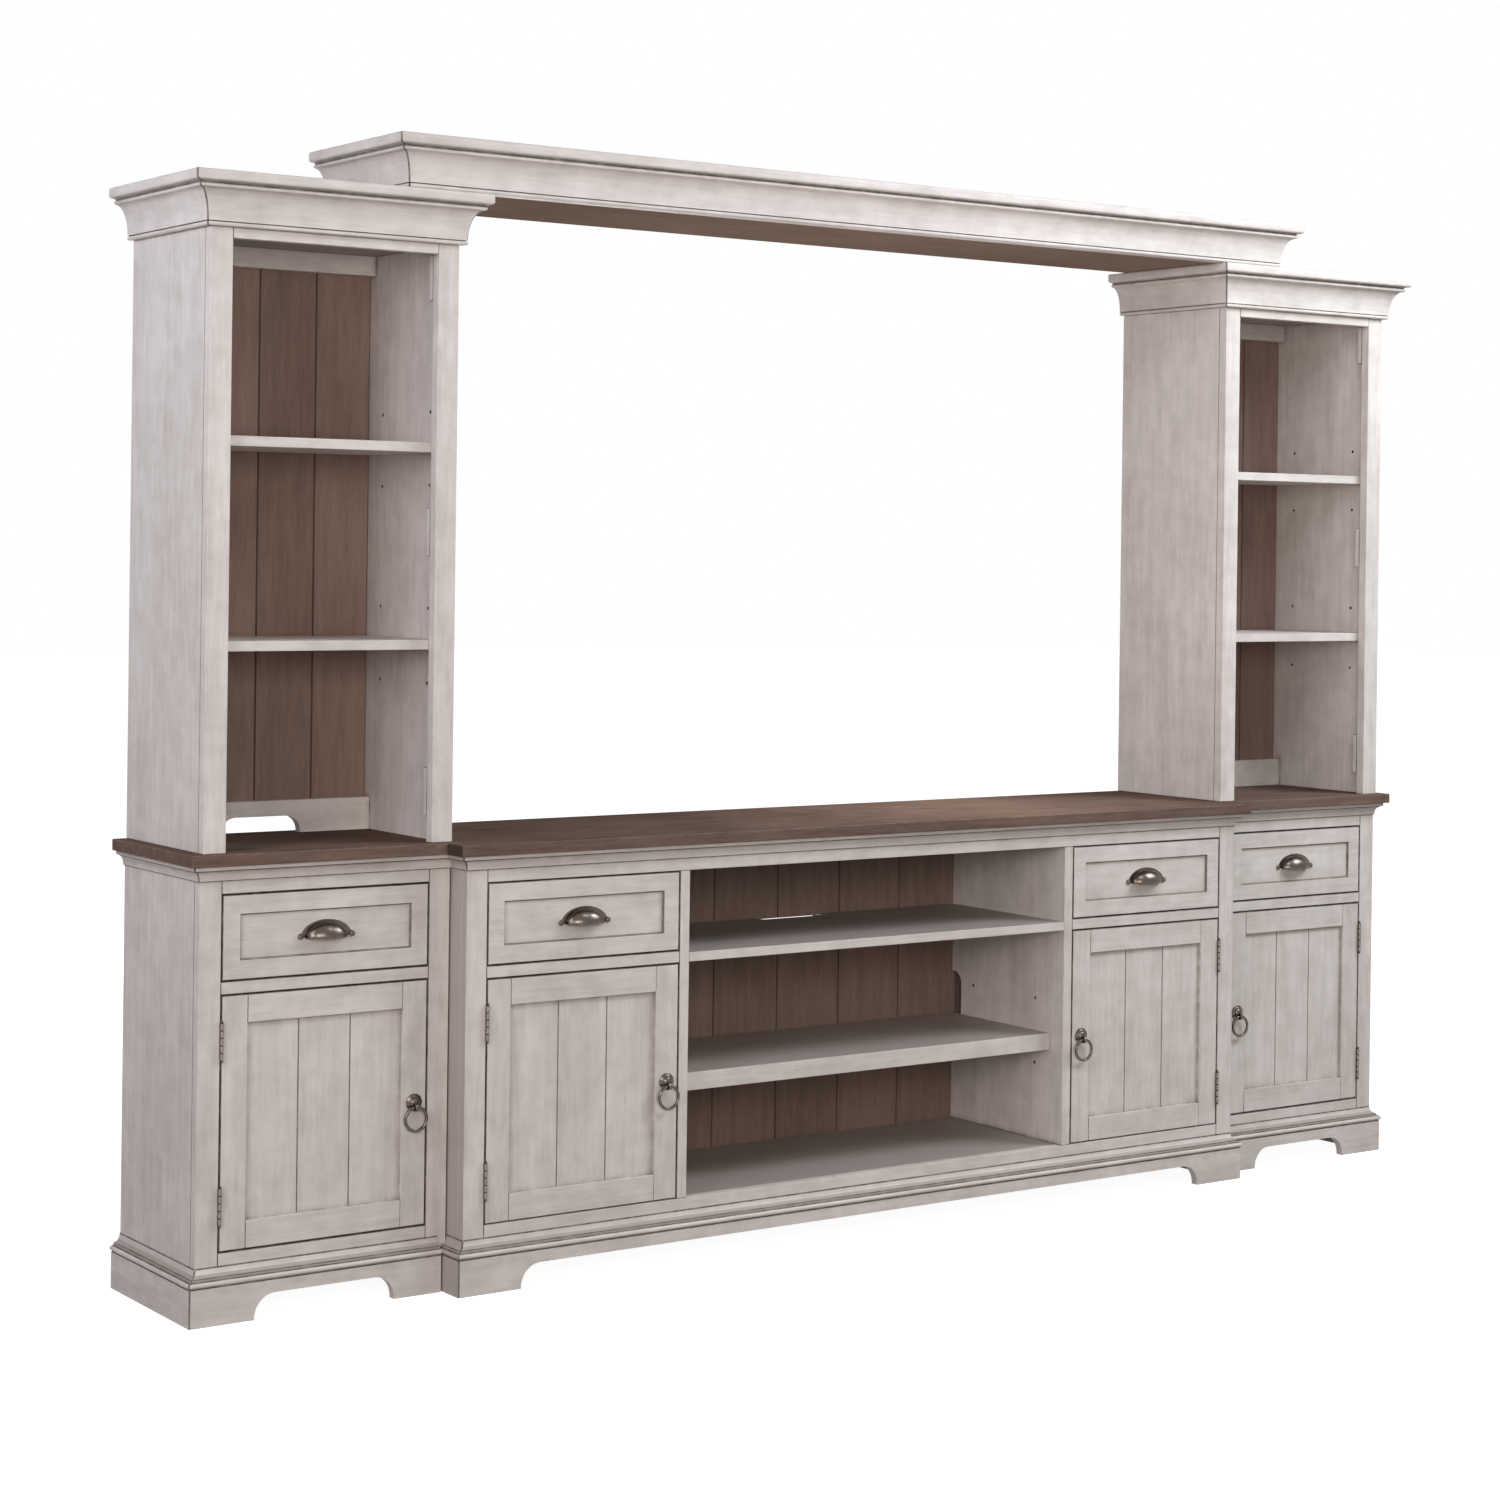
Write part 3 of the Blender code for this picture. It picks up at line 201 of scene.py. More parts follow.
def cut_away(obj, cutters):
    """Takes the cutters out of the piece."""
    for tool in cutters:
        tidy_selection()
        obj.select_set(True)
        bpy.context.view_layer.objects.active = obj
        change = obj.modifiers.new("cut", "BOOLEAN")
        change.operation = "DIFFERENCE"
        change.solver = "EXACT"
        change.object = tool
        bpy.ops.object.modifier_apply(modifier=change.name)
        bpy.data.objects.remove(tool)
    return obj


def drill(obj, places, radius, deep, sides=12):
    """Blind holes along X, each centred on a face at its place."""
    tidy_selection()
    for place in places:
        turn = (0, math.pi / 2, 0)
        bpy.ops.mesh.primitive_cylinder_add(vertices=sides, radius=radius, depth=2 * deep, location=place, rotation=turn)
        begin("drill", ())
    bits = [o for o in bpy.context.scene.objects if o.name.startswith("drill")]
    cut_away(obj, [join("drill", bits)])
    for face in obj.data.polygons:
        for place in places:
            if math.hypot(face.center.y - place[1], face.center.z - place[2]) < 1.2 * radius:
                face.material_index = JOINT_AND_SHADE
    return obj


def join(name, parts):
    """One piece from several that have the same slots."""
    tidy_selection()
    for part in parts:
        part.select_set(True)
    bpy.context.view_layer.objects.active = parts[0]
    if len(parts) > 1:
        bpy.ops.object.join()
    parts[0].name = parts[0].data.name = name
    return parts[0]


def soften(obj, degrees):
    """Smooth shading between faces that meet at less than this angle."""
    tidy_selection()
    obj.select_set(True)
    bpy.context.view_layer.objects.active = obj
    bpy.ops.object.shade_smooth_by_angle(angle=math.radians(degrees))
    return obj


def copy_to(obj, name, offset):
    """A copy with its own mesh, moved by an offset."""
    tidy_selection()
    obj.select_set(True)
    bpy.context.view_layer.objects.active = obj
    bpy.ops.object.duplicate(linked=False)
    bpy.ops.transform.translate(value=tuple(offset))
    bpy.ops.object.transform_apply(location=True, rotation=True, scale=True)
    copy = bpy.context.active_object
    copy.name = copy.data.name = name
    return copy


def hand_over(obj, node, body="cabinet"):
    """The piece rides on its body and stands for its CAD node, which is hidden."""
    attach(obj, body)
    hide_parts(node)
    return obj


# Forms


def arc(centre, radii, start, end, steps):
    """Points on part of an ellipse, from one angle in degrees to another."""
    points = []
    for k in range(steps + 1):
        angle = math.radians(start + (end - start) * k / steps)
        points.append((centre[0] + radii[0] * math.cos(angle), centre[1] + radii[1] * math.sin(angle)))
    return points


def along_axis(p, q):
    """True where an edge runs along X, Y or Z."""
    return sum(abs(a - b) > 1e-5 for a, b in zip(p, q)) == 1


def grain_slot(low, high):
    """The slot whose grain runs along a board."""
    size = [abs(b - a) for a, b in zip(low, high)]
    return (LEVEL, DEEP, UPRIGHT)[size.index(max(size))]


def boards(name, spans, slots=PAINT, ease=None):
    """Boards in one mesh, each between two corners, with eased edges and glaze where two boards meet."""
    ease = bpy.context.scene.wall_unit_joinery.ease if ease is None else ease
    spans = [(Vector(map(min, a, b)), Vector(map(max, a, b))) for a, b in spans]
    tidy_selection()
    add_cube(*spans[0])
    obj = begin(name, slots)
    edit(obj)
    for k, (low, high) in enumerate(spans):
        if k:
            bpy.ops.mesh.select_all(action="DESELECT")
            add_cube(low, high)
        else:
            bpy.ops.mesh.select_all(action="SELECT")
        obj.active_material_index = grain_slot(low, high)
        bpy.ops.object.material_slot_assign()
    bpy.ops.mesh.select_all(action="SELECT")
    ease_edges(ease)
    tidy_selection()
    centres = np.array([face.center[:] for face in obj.data.polygons])
    held = np.zeros(len(centres), int)
    for low, high in spans:
        reach = 1.5 * ease
        held += ((centres > np.array(low) - reach) & (centres < np.array(high) + reach)).all(1)
    for face, count in zip(obj.data.polygons, held):
        if face.material_index == EDGE and count > 1:
            face.material_index = JOINT_AND_SHADE
    return obj


def repaint(obj, slot, test):
    """Gives a slot to the faces whose middle and normal pass the test."""
    for face in obj.data.polygons:
        if test(face.center, face.normal):
            face.material_index = slot


def glaze_front(obj, front):
    """Thin glaze on the eased edges that meet a face frame."""
    for face in obj.data.polygons:
        if face.material_index == EDGE and face.center.y < front + 0.0015:
            face.material_index = SOFT


def shade_returns(obj):
    """Painted shade on the mouldings that run back along a side: their side faces take the darker shade paint."""
    for face in obj.data.polygons:
        if face.material_index == DEEP and abs(face.normal.x) > 0.3:
            face.material_index = SHADE


def shade_openings(obj, front, openings):
    """Painted shade in the reveals round openings, given as their ranges in x and z: the frame's eased front edges
    there take the joint glaze and its faces in the openings the thin glaze.
    """
    reach = 0.0015
    for face in obj.data.polygons:
        place = face.center
        for (left, right), (bottom, top) in openings:
            across = left - reach < place.x < right + reach
            upright = bottom - reach < place.z < top + reach
            beside = min(abs(place.x - left), abs(place.x - right)) < reach
            above = min(abs(place.z - bottom), abs(place.z - top)) < reach
            if (across and upright) and (beside or above):
                eased = face.material_index in (EDGE, JOINT_AND_SHADE)
                face.material_index = JOINT_AND_SHADE if eased and place.y < front + reach else SOFT


def shade_outline(obj, low, high):
    """Painted shade in the reveal round a door or drawer front: its eased front edges take the joint glaze and its side
    faces the thin glaze.
    """
    reach = 0.0015
    for face in obj.data.polygons:
        place = face.center
        outer = min(place.x - low.x, high.x - place.x, place.z - low.z, high.z - place.z) < reach
        if face.material_index == EDGE and outer and place.y < low.y + reach:
            face.material_index = JOINT_AND_SHADE
        elif face.material_index != JOINT_AND_SHADE and abs(face.normal.y) < 0.1 and outer:
            face.material_index = SOFT


def moulded(name, x, y, profile, grows=(True, True), slots=PAINT):
    """A block that is pushed up through a profile of (projection, height, slot), mitred at its corners.

    x and y are the faces that the projections are measured from. The front moves out, and so does each
    side that grows. Corner edges get a narrow glazed bevel, as a mitre that the glaze has settled in."""
    count = sum(grows)
    anchor_x = {(True, True): sum(x) / 2, (True, False): x[1], (False, True): x[0]}[grows]
    out, level = profile[0][:2]
    left = x[0] - out * grows[0]
    right = x[1] + out * grows[1]
    front = y[0] - out
    tidy_selection()
    place = ((left + right) / 2, (front + y[1]) / 2, level)
    bpy.ops.mesh.primitive_plane_add(size=1, location=place, scale=(1, 1, 1))
    obj = bpy.context.active_object
    obj.scale = (right - left, y[1] - front, 1)
    begin(name, slots)
    edit(obj)
    bpy.ops.mesh.select_all(action="SELECT")
    width, depth = right - left, y[1] - front
    for new_out, new_level, _ in profile[1:]:
        bpy.ops.mesh.extrude_region_move(TRANSFORM_OT_translate={"value": (0, 0, new_level - level)})
        step = new_out - out
        if step:
            grow = ((width + count * step) / width, (depth + step) / depth, 1)
            bpy.ops.transform.resize(value=grow, center_override=(anchor_x, y[1], new_level))
            width, depth = width + count * step, depth + step
        out, level = new_out, new_level
    bpy.ops.mesh.select_all(action="SELECT")
    bpy.ops.mesh.normals_make_consistent(inside=False)
    tidy_selection()

    strips = []
    for (out_a, level_a, _), (out_b, level_b, slot) in zip(profile, profile[1:]):
        strips.append(((out_a + out_b) / 2, (level_a + level_b) / 2, slot))
    for face in obj.data.polygons:
        middle = face.center
        outs = [y[0] - middle.y]
        outs += [x[0] - middle.x if grows[0] else -1, middle.x - x[1] if grows[1] else -1]
        side = outs.index(max(outs))
        best = min(strips, key=lambda s: (s[0] - max(outs)) ** 2 + (s[1] - middle.z) ** 2)
        face.material_index = best[2] if best[2] != LEVEL else (LEVEL, DEEP, DEEP)[side]

    line = bpy.context.scene.wall_unit_joinery.mitre_line
    edit(obj)

    def on_corner(point):
        ahead = y[0] - point.y
        return (grows[0] and abs(ahead - (x[0] - point.x)) < 1e-5) or (
            grows[1] and abs(ahead - (point.x - x[1])) < 1e-5
        )

    select_edges(obj, lambda a, b: on_corner(a) and on_corner(b) and (a - b).length < 0.2)
    bpy.ops.mesh.bevel(offset=line, segments=1, affect="EDGES", material=JOINT_AND_SHADE, clamp_overlap=False)
    tidy_selection()
    return obj


def turned(name, profile, sides, place, axis, slots=METAL, slot=0):
    """A round piece: a circle pushed along an axis through (radius, distance) pairs."""
    place, axis = Vector(place), Vector(axis).normalized()
    turn = axis.to_track_quat("Z", "Y").to_euler()
    radius, level = profile[0]
    tidy_selection()
    start = place + axis * level
    bpy.ops.mesh.primitive_circle_add(
        vertices=sides, radius=radius, fill_type="NGON", location=start, rotation=turn
    )
    obj = begin(name, slots)
    edit(obj)
    bpy.ops.mesh.select_all(action="SELECT")
    obj.active_material_index = slot
    bpy.ops.object.material_slot_assign()
    for new_radius, new_level in profile[1:]:
        push = tuple(axis * (new_level - level))
        bpy.ops.mesh.extrude_region_move(TRANSFORM_OT_translate={"value": push})
        if new_radius != radius:
            grow = (new_radius / radius,) * 3
            bpy.ops.transform.resize(value=grow, center_override=tuple(place + axis * new_level))
        radius, level = new_radius, new_level
    bpy.ops.mesh.select_all(action="SELECT")
    bpy.ops.mesh.normals_make_consistent(inside=False)
    tidy_selection()
    return soften(obj, 40)


# Node groups and materials


def add_node(tree, kind, inputs=None, **settings):
    """A node with its settings, and with values or links on its inputs."""
    made = tree.nodes.new(kind)
    for key, value in settings.items():
        setattr(made, key, value)
    for key, value in (inputs or {}).items():
        if isinstance(value, bpy.types.NodeSocket):
            tree.links.new(value, made.inputs[key])
        else:
            made.inputs[key].default_value = value
    return made


def group(name, inputs, outputs):
    """An empty shader group with named sockets. Returns its tree, its inputs and its output node."""
    tree = bpy.data.node_groups.new(name, "ShaderNodeTree")
    for label, kind, value in inputs:
        socket = tree.interface.new_socket(label, in_out="INPUT", socket_type=kind)
        socket.default_value = value
    for label, kind in outputs:
        tree.interface.new_socket(label, in_out="OUTPUT", socket_type=kind)
    start = tree.nodes.new("NodeGroupInput")
    end = tree.nodes.new("NodeGroupOutput")
    return tree, start.outputs, end


def ramp(tree, value, stops):
    """A colour ramp over (place, grey) stops. Returns its colour output."""
    made = add_node(tree, "ShaderNodeValToRGB", {"Fac": value})
    points = made.color_ramp.elements
    while len(points) < len(stops):
        points.new(0.5)
    for point, (place, grey) in zip(points, stops):
        point.position = place
        point.color = (grey, grey, grey, 1)
    return made.outputs["Color"]


def mixed(tree, factor, a, b, blend="MIX"):
    """Colour a turned into colour b by a factor."""
    made = add_node(tree, "ShaderNodeMix", data_type="RGBA", blend_type=blend)
    for socket, value in ((made.inputs[0], factor), (made.inputs[6], a), (made.inputs[7], b)):
        if isinstance(value, bpy.types.NodeSocket):
            tree.links.new(value, socket)
        else:
            socket.default_value = value
    return made.outputs[2]


def calc(tree, operation, a, b=None, clamp=False):
    """A math node's output."""
    made = add_node(tree, "ShaderNodeMath", operation=operation, use_clamp=clamp)
    for socket, value in ((made.inputs[0], a), (made.inputs[1], b)):
        if isinstance(value, bpy.types.NodeSocket):
            tree.links.new(value, socket)
        elif value is not None:
            socket.default_value = value
    return made.outputs[0]


def noise(tree, place, scale, detail=3.0, rough=0.55, kind="Fac"):
    """A noise texture's output at a place."""
    made = add_node(
        tree, "ShaderNodeTexNoise", {"Vector": place, "Scale": scale, "Detail": detail, "Roughness": rough}
    )
    return made.outputs[kind]


def stretched(tree, place, stretch):
    """Places multiplied by a stretch, so that a pattern runs along the grain."""
    made = add_node(tree, "ShaderNodeVectorMath", {0: place, 1: stretch}, operation="MULTIPLY")
    return made.outputs[0]


def paint_group():
    """Brushed paint over wood: streaks, soft clouds, open pores and a thin wash of glaze."""
    tree, given, end = group(
        "Brushed paint",
        [
            ("Place", "NodeSocketVector", (0, 0, 0)),
            ("Paint", "NodeSocketColor", (0.7, 0.65, 0.6, 1)),
            ("Wash", "NodeSocketColor", (0.3, 0.25, 0.2, 1)),
            ("Stretch", "NodeSocketVector", (1, 1, 1)),
            ("Strength", "NodeSocketFloat", 1.0),
        ],
        [("Color", "NodeSocketColor"), ("Roughness", "NodeSocketFloat"), ("Height", "NodeSocketFloat")],
    )
    along = stretched(tree, given["Place"], given["Stretch"])
    streaks = noise(tree, along, 95.0, 2.0, 0.55)
    hairs = noise(tree, along, 330.0, 2.0, 0.6)
    broad = noise(tree, along, 26.0, 2.0, 0.5)
    clouds = noise(tree, given["Place"], 6.0, 3.0, 0.6)
    pores = ramp(tree, noise(tree, along, 640.0, 1.0, 0.7), [(0.0, 0.0), (0.66, 0.0), (0.78, 1.0)])
    lines = ramp(tree, streaks, [(0.30, 0.0), (0.72, 1.0)])
    wide = ramp(tree, broad, [(0.35, 0.0), (0.75, 1.0)])
    fine = ramp(tree, hairs, [(0.35, 0.0), (0.75, 1.0)])
    patches = ramp(tree, clouds, [(0.35, 0.0), (0.70, 1.0)])
    mottled = ramp(tree, noise(tree, given["Place"], 24.0, 2.0, 0.55), [(0.38, 0.0), (0.68, 1.0)])
    wash = calc(tree, "MULTIPLY", lines, 0.17)
    wash = calc(tree, "ADD", wash, calc(tree, "MULTIPLY", mottled, 0.12))
    wash = calc(tree, "ADD", wash, calc(tree, "MULTIPLY", wide, 0.18))
    wash = calc(tree, "ADD", wash, calc(tree, "MULTIPLY", fine, 0.11))
    wash = calc(tree, "ADD", wash, calc(tree, "MULTIPLY", patches, 0.17))
    wash = calc(tree, "ADD", wash, calc(tree, "MULTIPLY", pores, 0.14))
    wash = calc(tree, "MULTIPLY", wash, given["Strength"], clamp=True)
    colour = mixed(tree, wash, given["Paint"], given["Wash"])
    tree.links.new(colour, end.inputs["Color"])
    rough = calc(tree, "ADD", calc(tree, "MULTIPLY", lines, 0.12), 0.44)
    rough = calc(tree, "ADD", rough, calc(tree, "MULTIPLY", pores, 0.15))
    tree.links.new(rough, end.inputs["Roughness"])
    height = calc(tree, "ADD", calc(tree, "MULTIPLY", lines, 0.5), calc(tree, "MULTIPLY", fine, 0.3))
    height = calc(tree, "SUBTRACT", height, calc(tree, "MULTIPLY", pores, 0.8))
    tree.links.new(height, end.inputs["Height"])
    return tree


def recess_group():
    """Darkens corners and the ground under edges, where ambient occlusion finds them. On paint this is glaze together
    with painted shade; on nickel it is tarnish in the hollows.
    """
    tree, given, end = group(
        "Darkening in recesses",
        [
            ("Place", "NodeSocketVector", (0, 0, 0)),
            ("Color", "NodeSocketColor", (0.7, 0.65, 0.6, 1)),
            ("Glaze", "NodeSocketColor", (0.1, 0.07, 0.05, 1)),
            ("Distance", "NodeSocketFloat", 0.004),
            ("Strength", "NodeSocketFloat", 0.6),
        ],
        [("Color", "NodeSocketColor"), ("Mask", "NodeSocketFloat")],
    )
    shade = add_node(
        tree, "ShaderNodeAmbientOcclusion", {"Distance": given["Distance"]}, samples=4, only_local=True
    )
    tight = ramp(tree, shade.outputs["AO"], [(0.30, 1.0), (0.72, 0.30), (0.97, 0.0)])
    broken = ramp(tree, noise(tree, given["Place"], 48.0, 2.0, 0.6), [(0.28, 0.35), (0.66, 1.0)])
    mask = calc(tree, "MULTIPLY", calc(tree, "MULTIPLY", tight, broken), given["Strength"], clamp=True)
    tree.links.new(mixed(tree, mask, given["Color"], given["Glaze"]), end.inputs["Color"])
    tree.links.new(mask, end.inputs["Mask"])
    return tree


def grain_group():
    """Stained wood: long grain, pores, slow colour changes and a tone of its own for each plank."""
    tree, given, end = group(
        "Wood grain",
        [
            ("Place", "NodeSocketVector", (0, 0, 0)),
            ("Light", "NodeSocketColor", (0.2, 0.15, 0.1, 1)),
            ("Dark", "NodeSocketColor", (0.05, 0.035, 0.025, 1)),
            ("Stretch", "NodeSocketVector", (1, 1, 1)),
            ("Plank Width", "NodeSocketFloat", 0.1),
            ("Plank Start", "NodeSocketFloat", 0.0),
            ("Plank Contrast", "NodeSocketFloat", 0.0),
        ],
        [("Color", "NodeSocketColor"), ("Roughness", "NodeSocketFloat"), ("Height", "NodeSocketFloat")],
    )
    axes = add_node(tree, "ShaderNodeSeparateXYZ", {"Vector": given["Place"]})
    shifted = calc(tree, "SUBTRACT", axes.outputs["X"], given["Plank Start"])
    plank = calc(tree, "FLOOR", calc(tree, "DIVIDE", shifted, given["Plank Width"]))
    tone = add_node(tree, "ShaderNodeTexWhiteNoise", {"W": plank}, noise_dimensions="1D")
    jump = add_node(tree, "ShaderNodeCombineXYZ", {"Y": plank, "Z": plank})
    moved = add_node(tree, "ShaderNodeVectorMath", {0: given["Place"], 1: jump.outputs[0]}, operation="ADD")
    along = stretched(tree, moved.outputs[0], given["Stretch"])
    bends = noise(tree, along, 6.0, 2.0, 0.5)
    push = calc(tree, "MULTIPLY", bends, 0.03)
    waved = add_node(tree, "ShaderNodeVectorMath", {0: along, 1: push}, operation="ADD")
    rings = noise(tree, waved.outputs[0], 70.0, 3.0, 0.65)
    fibres = noise(tree, waved.outputs[0], 330.0, 2.0, 0.6)
    slow = noise(tree, moved.outputs[0], 4.0, 3.0, 0.5)
    pores = ramp(tree, noise(tree, along, 560.0, 1.0, 0.7), [(0.0, 0.0), (0.60, 0.0), (0.74, 1.0)])
    body = ramp(tree, rings, [(0.28, 0.0), (0.72, 1.0)])
    fine = ramp(tree, fibres, [(0.3, 0.0), (0.75, 1.0)])
    patches = ramp(tree, slow, [(0.3, 0.0), (0.7, 1.0)])
    mix = calc(tree, "MULTIPLY", body, 0.42)
    mix = calc(tree, "ADD", mix, calc(tree, "MULTIPLY", fine, 0.16))
    mix = calc(tree, "ADD", mix, calc(tree, "MULTIPLY", patches, 0.34))
    offset = calc(tree, "MULTIPLY", calc(tree, "SUBTRACT", tone.outputs["Value"], 0.5), given["Plank Contrast"])
    mix = calc(tree, "ADD", mix, offset)
    mix = calc(tree, "ADD", mix, calc(tree, "MULTIPLY", pores, 0.22), clamp=True)
    tree.links.new(mixed(tree, mix, given["Light"], given["Dark"]), end.inputs["Color"])
    rough = calc(tree, "ADD", calc(tree, "MULTIPLY", body, 0.10), 0.44)
    rough = calc(tree, "ADD", rough, calc(tree, "MULTIPLY", pores, 0.2))
    tree.links.new(rough, end.inputs["Roughness"])
    height = calc(tree, "SUBTRACT", calc(tree, "MULTIPLY", fine, 0.4), pores)
    tree.links.new(height, end.inputs["Height"])
    return tree


def tarnish_group():
    """Antique plate: rubbed bright places, darker clouds and fine scratches."""
    tree, given, end = group(
        "Tarnish",
        [
            ("Place", "NodeSocketVector", (0, 0, 0)),
            ("Bright", "NodeSocketColor", (0.5, 0.45, 0.4, 1)),
            ("Tarnish", "NodeSocketColor", (0.1, 0.08, 0.07, 1)),
            ("Amount", "NodeSocketFloat", 0.5),
        ],
        [("Color", "NodeSocketColor"), ("Roughness", "NodeSocketFloat"), ("Height", "NodeSocketFloat")],
    )
    clouds = ramp(tree, noise(tree, given["Place"], 160.0, 5.0, 0.6), [(0.35, 0.0), (0.68, 1.0)])
    along = stretched(tree, given["Place"], (1, 1, 9))
    scratches = ramp(tree, noise(tree, along, 900.0, 2.0, 0.6), [(0.45, 0.0), (0.7, 1.0)])
    mask = calc(tree, "MULTIPLY", clouds, given["Amount"], clamp=True)
    tree.links.new(mixed(tree, mask, given["Bright"], given["Tarnish"]), end.inputs["Color"])
    rough = calc(tree, "ADD", calc(tree, "MULTIPLY", clouds, 0.14), 0.16)
    rough = calc(tree, "ADD", rough, calc(tree, "MULTIPLY", scratches, 0.08))
    tree.links.new(rough, end.inputs["Roughness"])
    tree.links.new(scratches, end.inputs["Height"])
    return tree


# How far patterns are drawn out along X, Y and Z for each grain direction
STRETCHES = {
    "upright": (1.0, 1.0, 0.09),
    "level": (0.09, 1.0, 1.0),
    "deep": (1.0, 0.09, 1.0),
    "none": (0.6, 0.6, 0.6),
}


def start_material(name, view_colour):
    """A material with its shader and Object coordinates."""
    made = bpy.data.materials.new(name)
    made.use_nodes = True
    made.diffuse_color = (*view_colour, 1)
    tree = made.node_tree
    shader = tree.nodes["Principled BSDF"]
    place = add_node(tree, "ShaderNodeTexCoord").outputs["Object"]
    return tree, shader, place


def fill_group(tree, name, inputs):
    """Places a shader group in a material and fills its inputs."""
    made = add_node(tree, "ShaderNodeGroup", node_tree=bpy.data.node_groups[name])
    for key, value in inputs.items():
        if isinstance(value, bpy.types.NodeSocket):
            tree.links.new(value, made.inputs[key])
        else:
            made.inputs[key].default_value = value
    return made


def with_bump(tree, shader, height, distance, strength=1.0):
    """Raises the surface by a height, in metres at full strength."""
    bump = add_node(
        tree, "ShaderNodeBump", {"Height": height, "Distance": distance, "Strength": strength}
    )
    tree.links.new(bump.outputs["Normal"], shader.inputs["Normal"])


def paint_material(name, base, grain, strength=1.0, edge=False):
    """Antique white paint. On edges the glaze is stronger and wood is rubbed bare in spots."""
    colours = bpy.context.scene.wall_unit_colours
    tree, shader, place = start_material(name, base)
    coat = fill_group(
        tree,
        "Brushed paint",
        {
            "Place": place,
            "Paint": (*base, 1),
            "Wash": (*colours.wash, 1),
            "Stretch": STRETCHES[grain],
            "Strength": strength,
        },
    )
    colour = coat.outputs["Color"]
    if edge:
        spots = noise(tree, place, 55.0, 4.0, 0.6)
        bare = ramp(tree, spots, [(0.56, 0.0), (0.72, 0.6)])
        colour = mixed(tree, bare, colour, (*colours.rubbed, 1))
    # Glaze and painted shade: corners and the ground under edges darken where ambient occlusion finds them
    settled = fill_group(
        tree,
        "Darkening in recesses",
        {
            "Place": place,
            "Color": colour,
            "Glaze": (*colours.glaze, 1),
            "Distance": bpy.context.scene.wall_unit_joinery.glaze_and_shade_reach,
            "Strength": 0.75,
        },
    )
    tree.links.new(settled.outputs["Color"], shader.inputs["Base Color"])
    tree.links.new(coat.outputs["Roughness"], shader.inputs["Roughness"])
    shader.inputs["Specular IOR Level"].default_value = 0.25
    with_bump(tree, shader, coat.outputs["Height"], 0.00012, 0.6)


def glaze_material(name, body, thinned):
    """Glaze that fills joints and quirks, thicker and thinner along its way. Its two materials also paint the shade in
    the reveals round doors and drawers and under small steps.
    """
    tree, shader, place = start_material(name, body)
    thin = ramp(tree, noise(tree, place, 42.0, 4.0, 0.65), [(0.38, 0.0), (0.72, 0.75)])
    tree.links.new(mixed(tree, thin, (*body, 1), (*thinned, 1)), shader.inputs["Base Color"])
    rough = calc(tree, "ADD", calc(tree, "MULTIPLY", thin, 0.2), 0.55)
    tree.links.new(rough, shader.inputs["Roughness"])
    with_bump(tree, shader, thin, 0.0001, 0.5)


def wood_material(name, light, dark, grain, plank=(1.0, 0.0, 0.0), wear=0.0, gloss=0.008):
    """Stained wood with its grain along one axis."""
    tree, shader, place = start_material(name, light)
    wood = fill_group(
        tree,
        "Wood grain",
        {
            "Place": place,
            "Light": (*light, 1),
            "Dark": (*dark, 1),
            "Stretch": STRETCHES[grain],
            "Plank Width": plank[0],
            "Plank Start": plank[1],
            "Plank Contrast": plank[2],
        },
    )
    colour = wood.outputs["Color"]
    if wear:
        spots = ramp(tree, noise(tree, place, 48.0, 4.0, 0.6), [(0.48, 0.0), (0.68, wear)])
        colour = mixed(tree, spots, colour, (*(min(1, 1.9 * c) for c in light), 1))
    tree.links.new(colour, shader.inputs["Base Color"])
    tree.links.new(wood.outputs["Roughness"], shader.inputs["Roughness"])
    shader.inputs["Specular IOR Level"].default_value = gloss
    with_bump(tree, shader, wood.outputs["Height"], 0.00015, 0.6)


def nickel_material(name, bright, amount):
    """Antique nickel plate."""
    colours = bpy.context.scene.wall_unit_colours
    tree, shader, place = start_material(name, bright)
    plate = fill_group(
        tree,
        "Tarnish",
        {
            "Place": place,
            "Bright": (*bright, 1),
            "Tarnish": (*colours.tarnish, 1),
            "Amount": amount,
        },
    )
    settled = fill_group(
        tree,
        "Darkening in recesses",
        {
            "Place": place,
            "Color": plate.outputs["Color"],
            "Glaze": (*colours.tarnish, 1),
            "Distance": 0.004,
            "Strength": 0.8,
        },
    )
    tree.links.new(settled.outputs["Color"], shader.inputs["Base Color"])
    tree.links.new(plate.outputs["Roughness"], shader.inputs["Roughness"])
    shader.inputs["Metallic"].default_value = 1.0
    with_bump(tree, shader, plate.outputs["Height"], 0.00002, 0.4)


# Settings


def colour_setting(name, description, default):
    """A colour that a user may change."""
    return FloatVectorProperty(
        name=name, description=description, default=default, size=3, min=0, max=1, subtype="COLOR"
    )


def length_setting(name, description, default):
    """A length that a user may change."""
    return FloatProperty(
        name=name, description=description, default=default, min=0, unit="LENGTH", subtype="DISTANCE"
    )


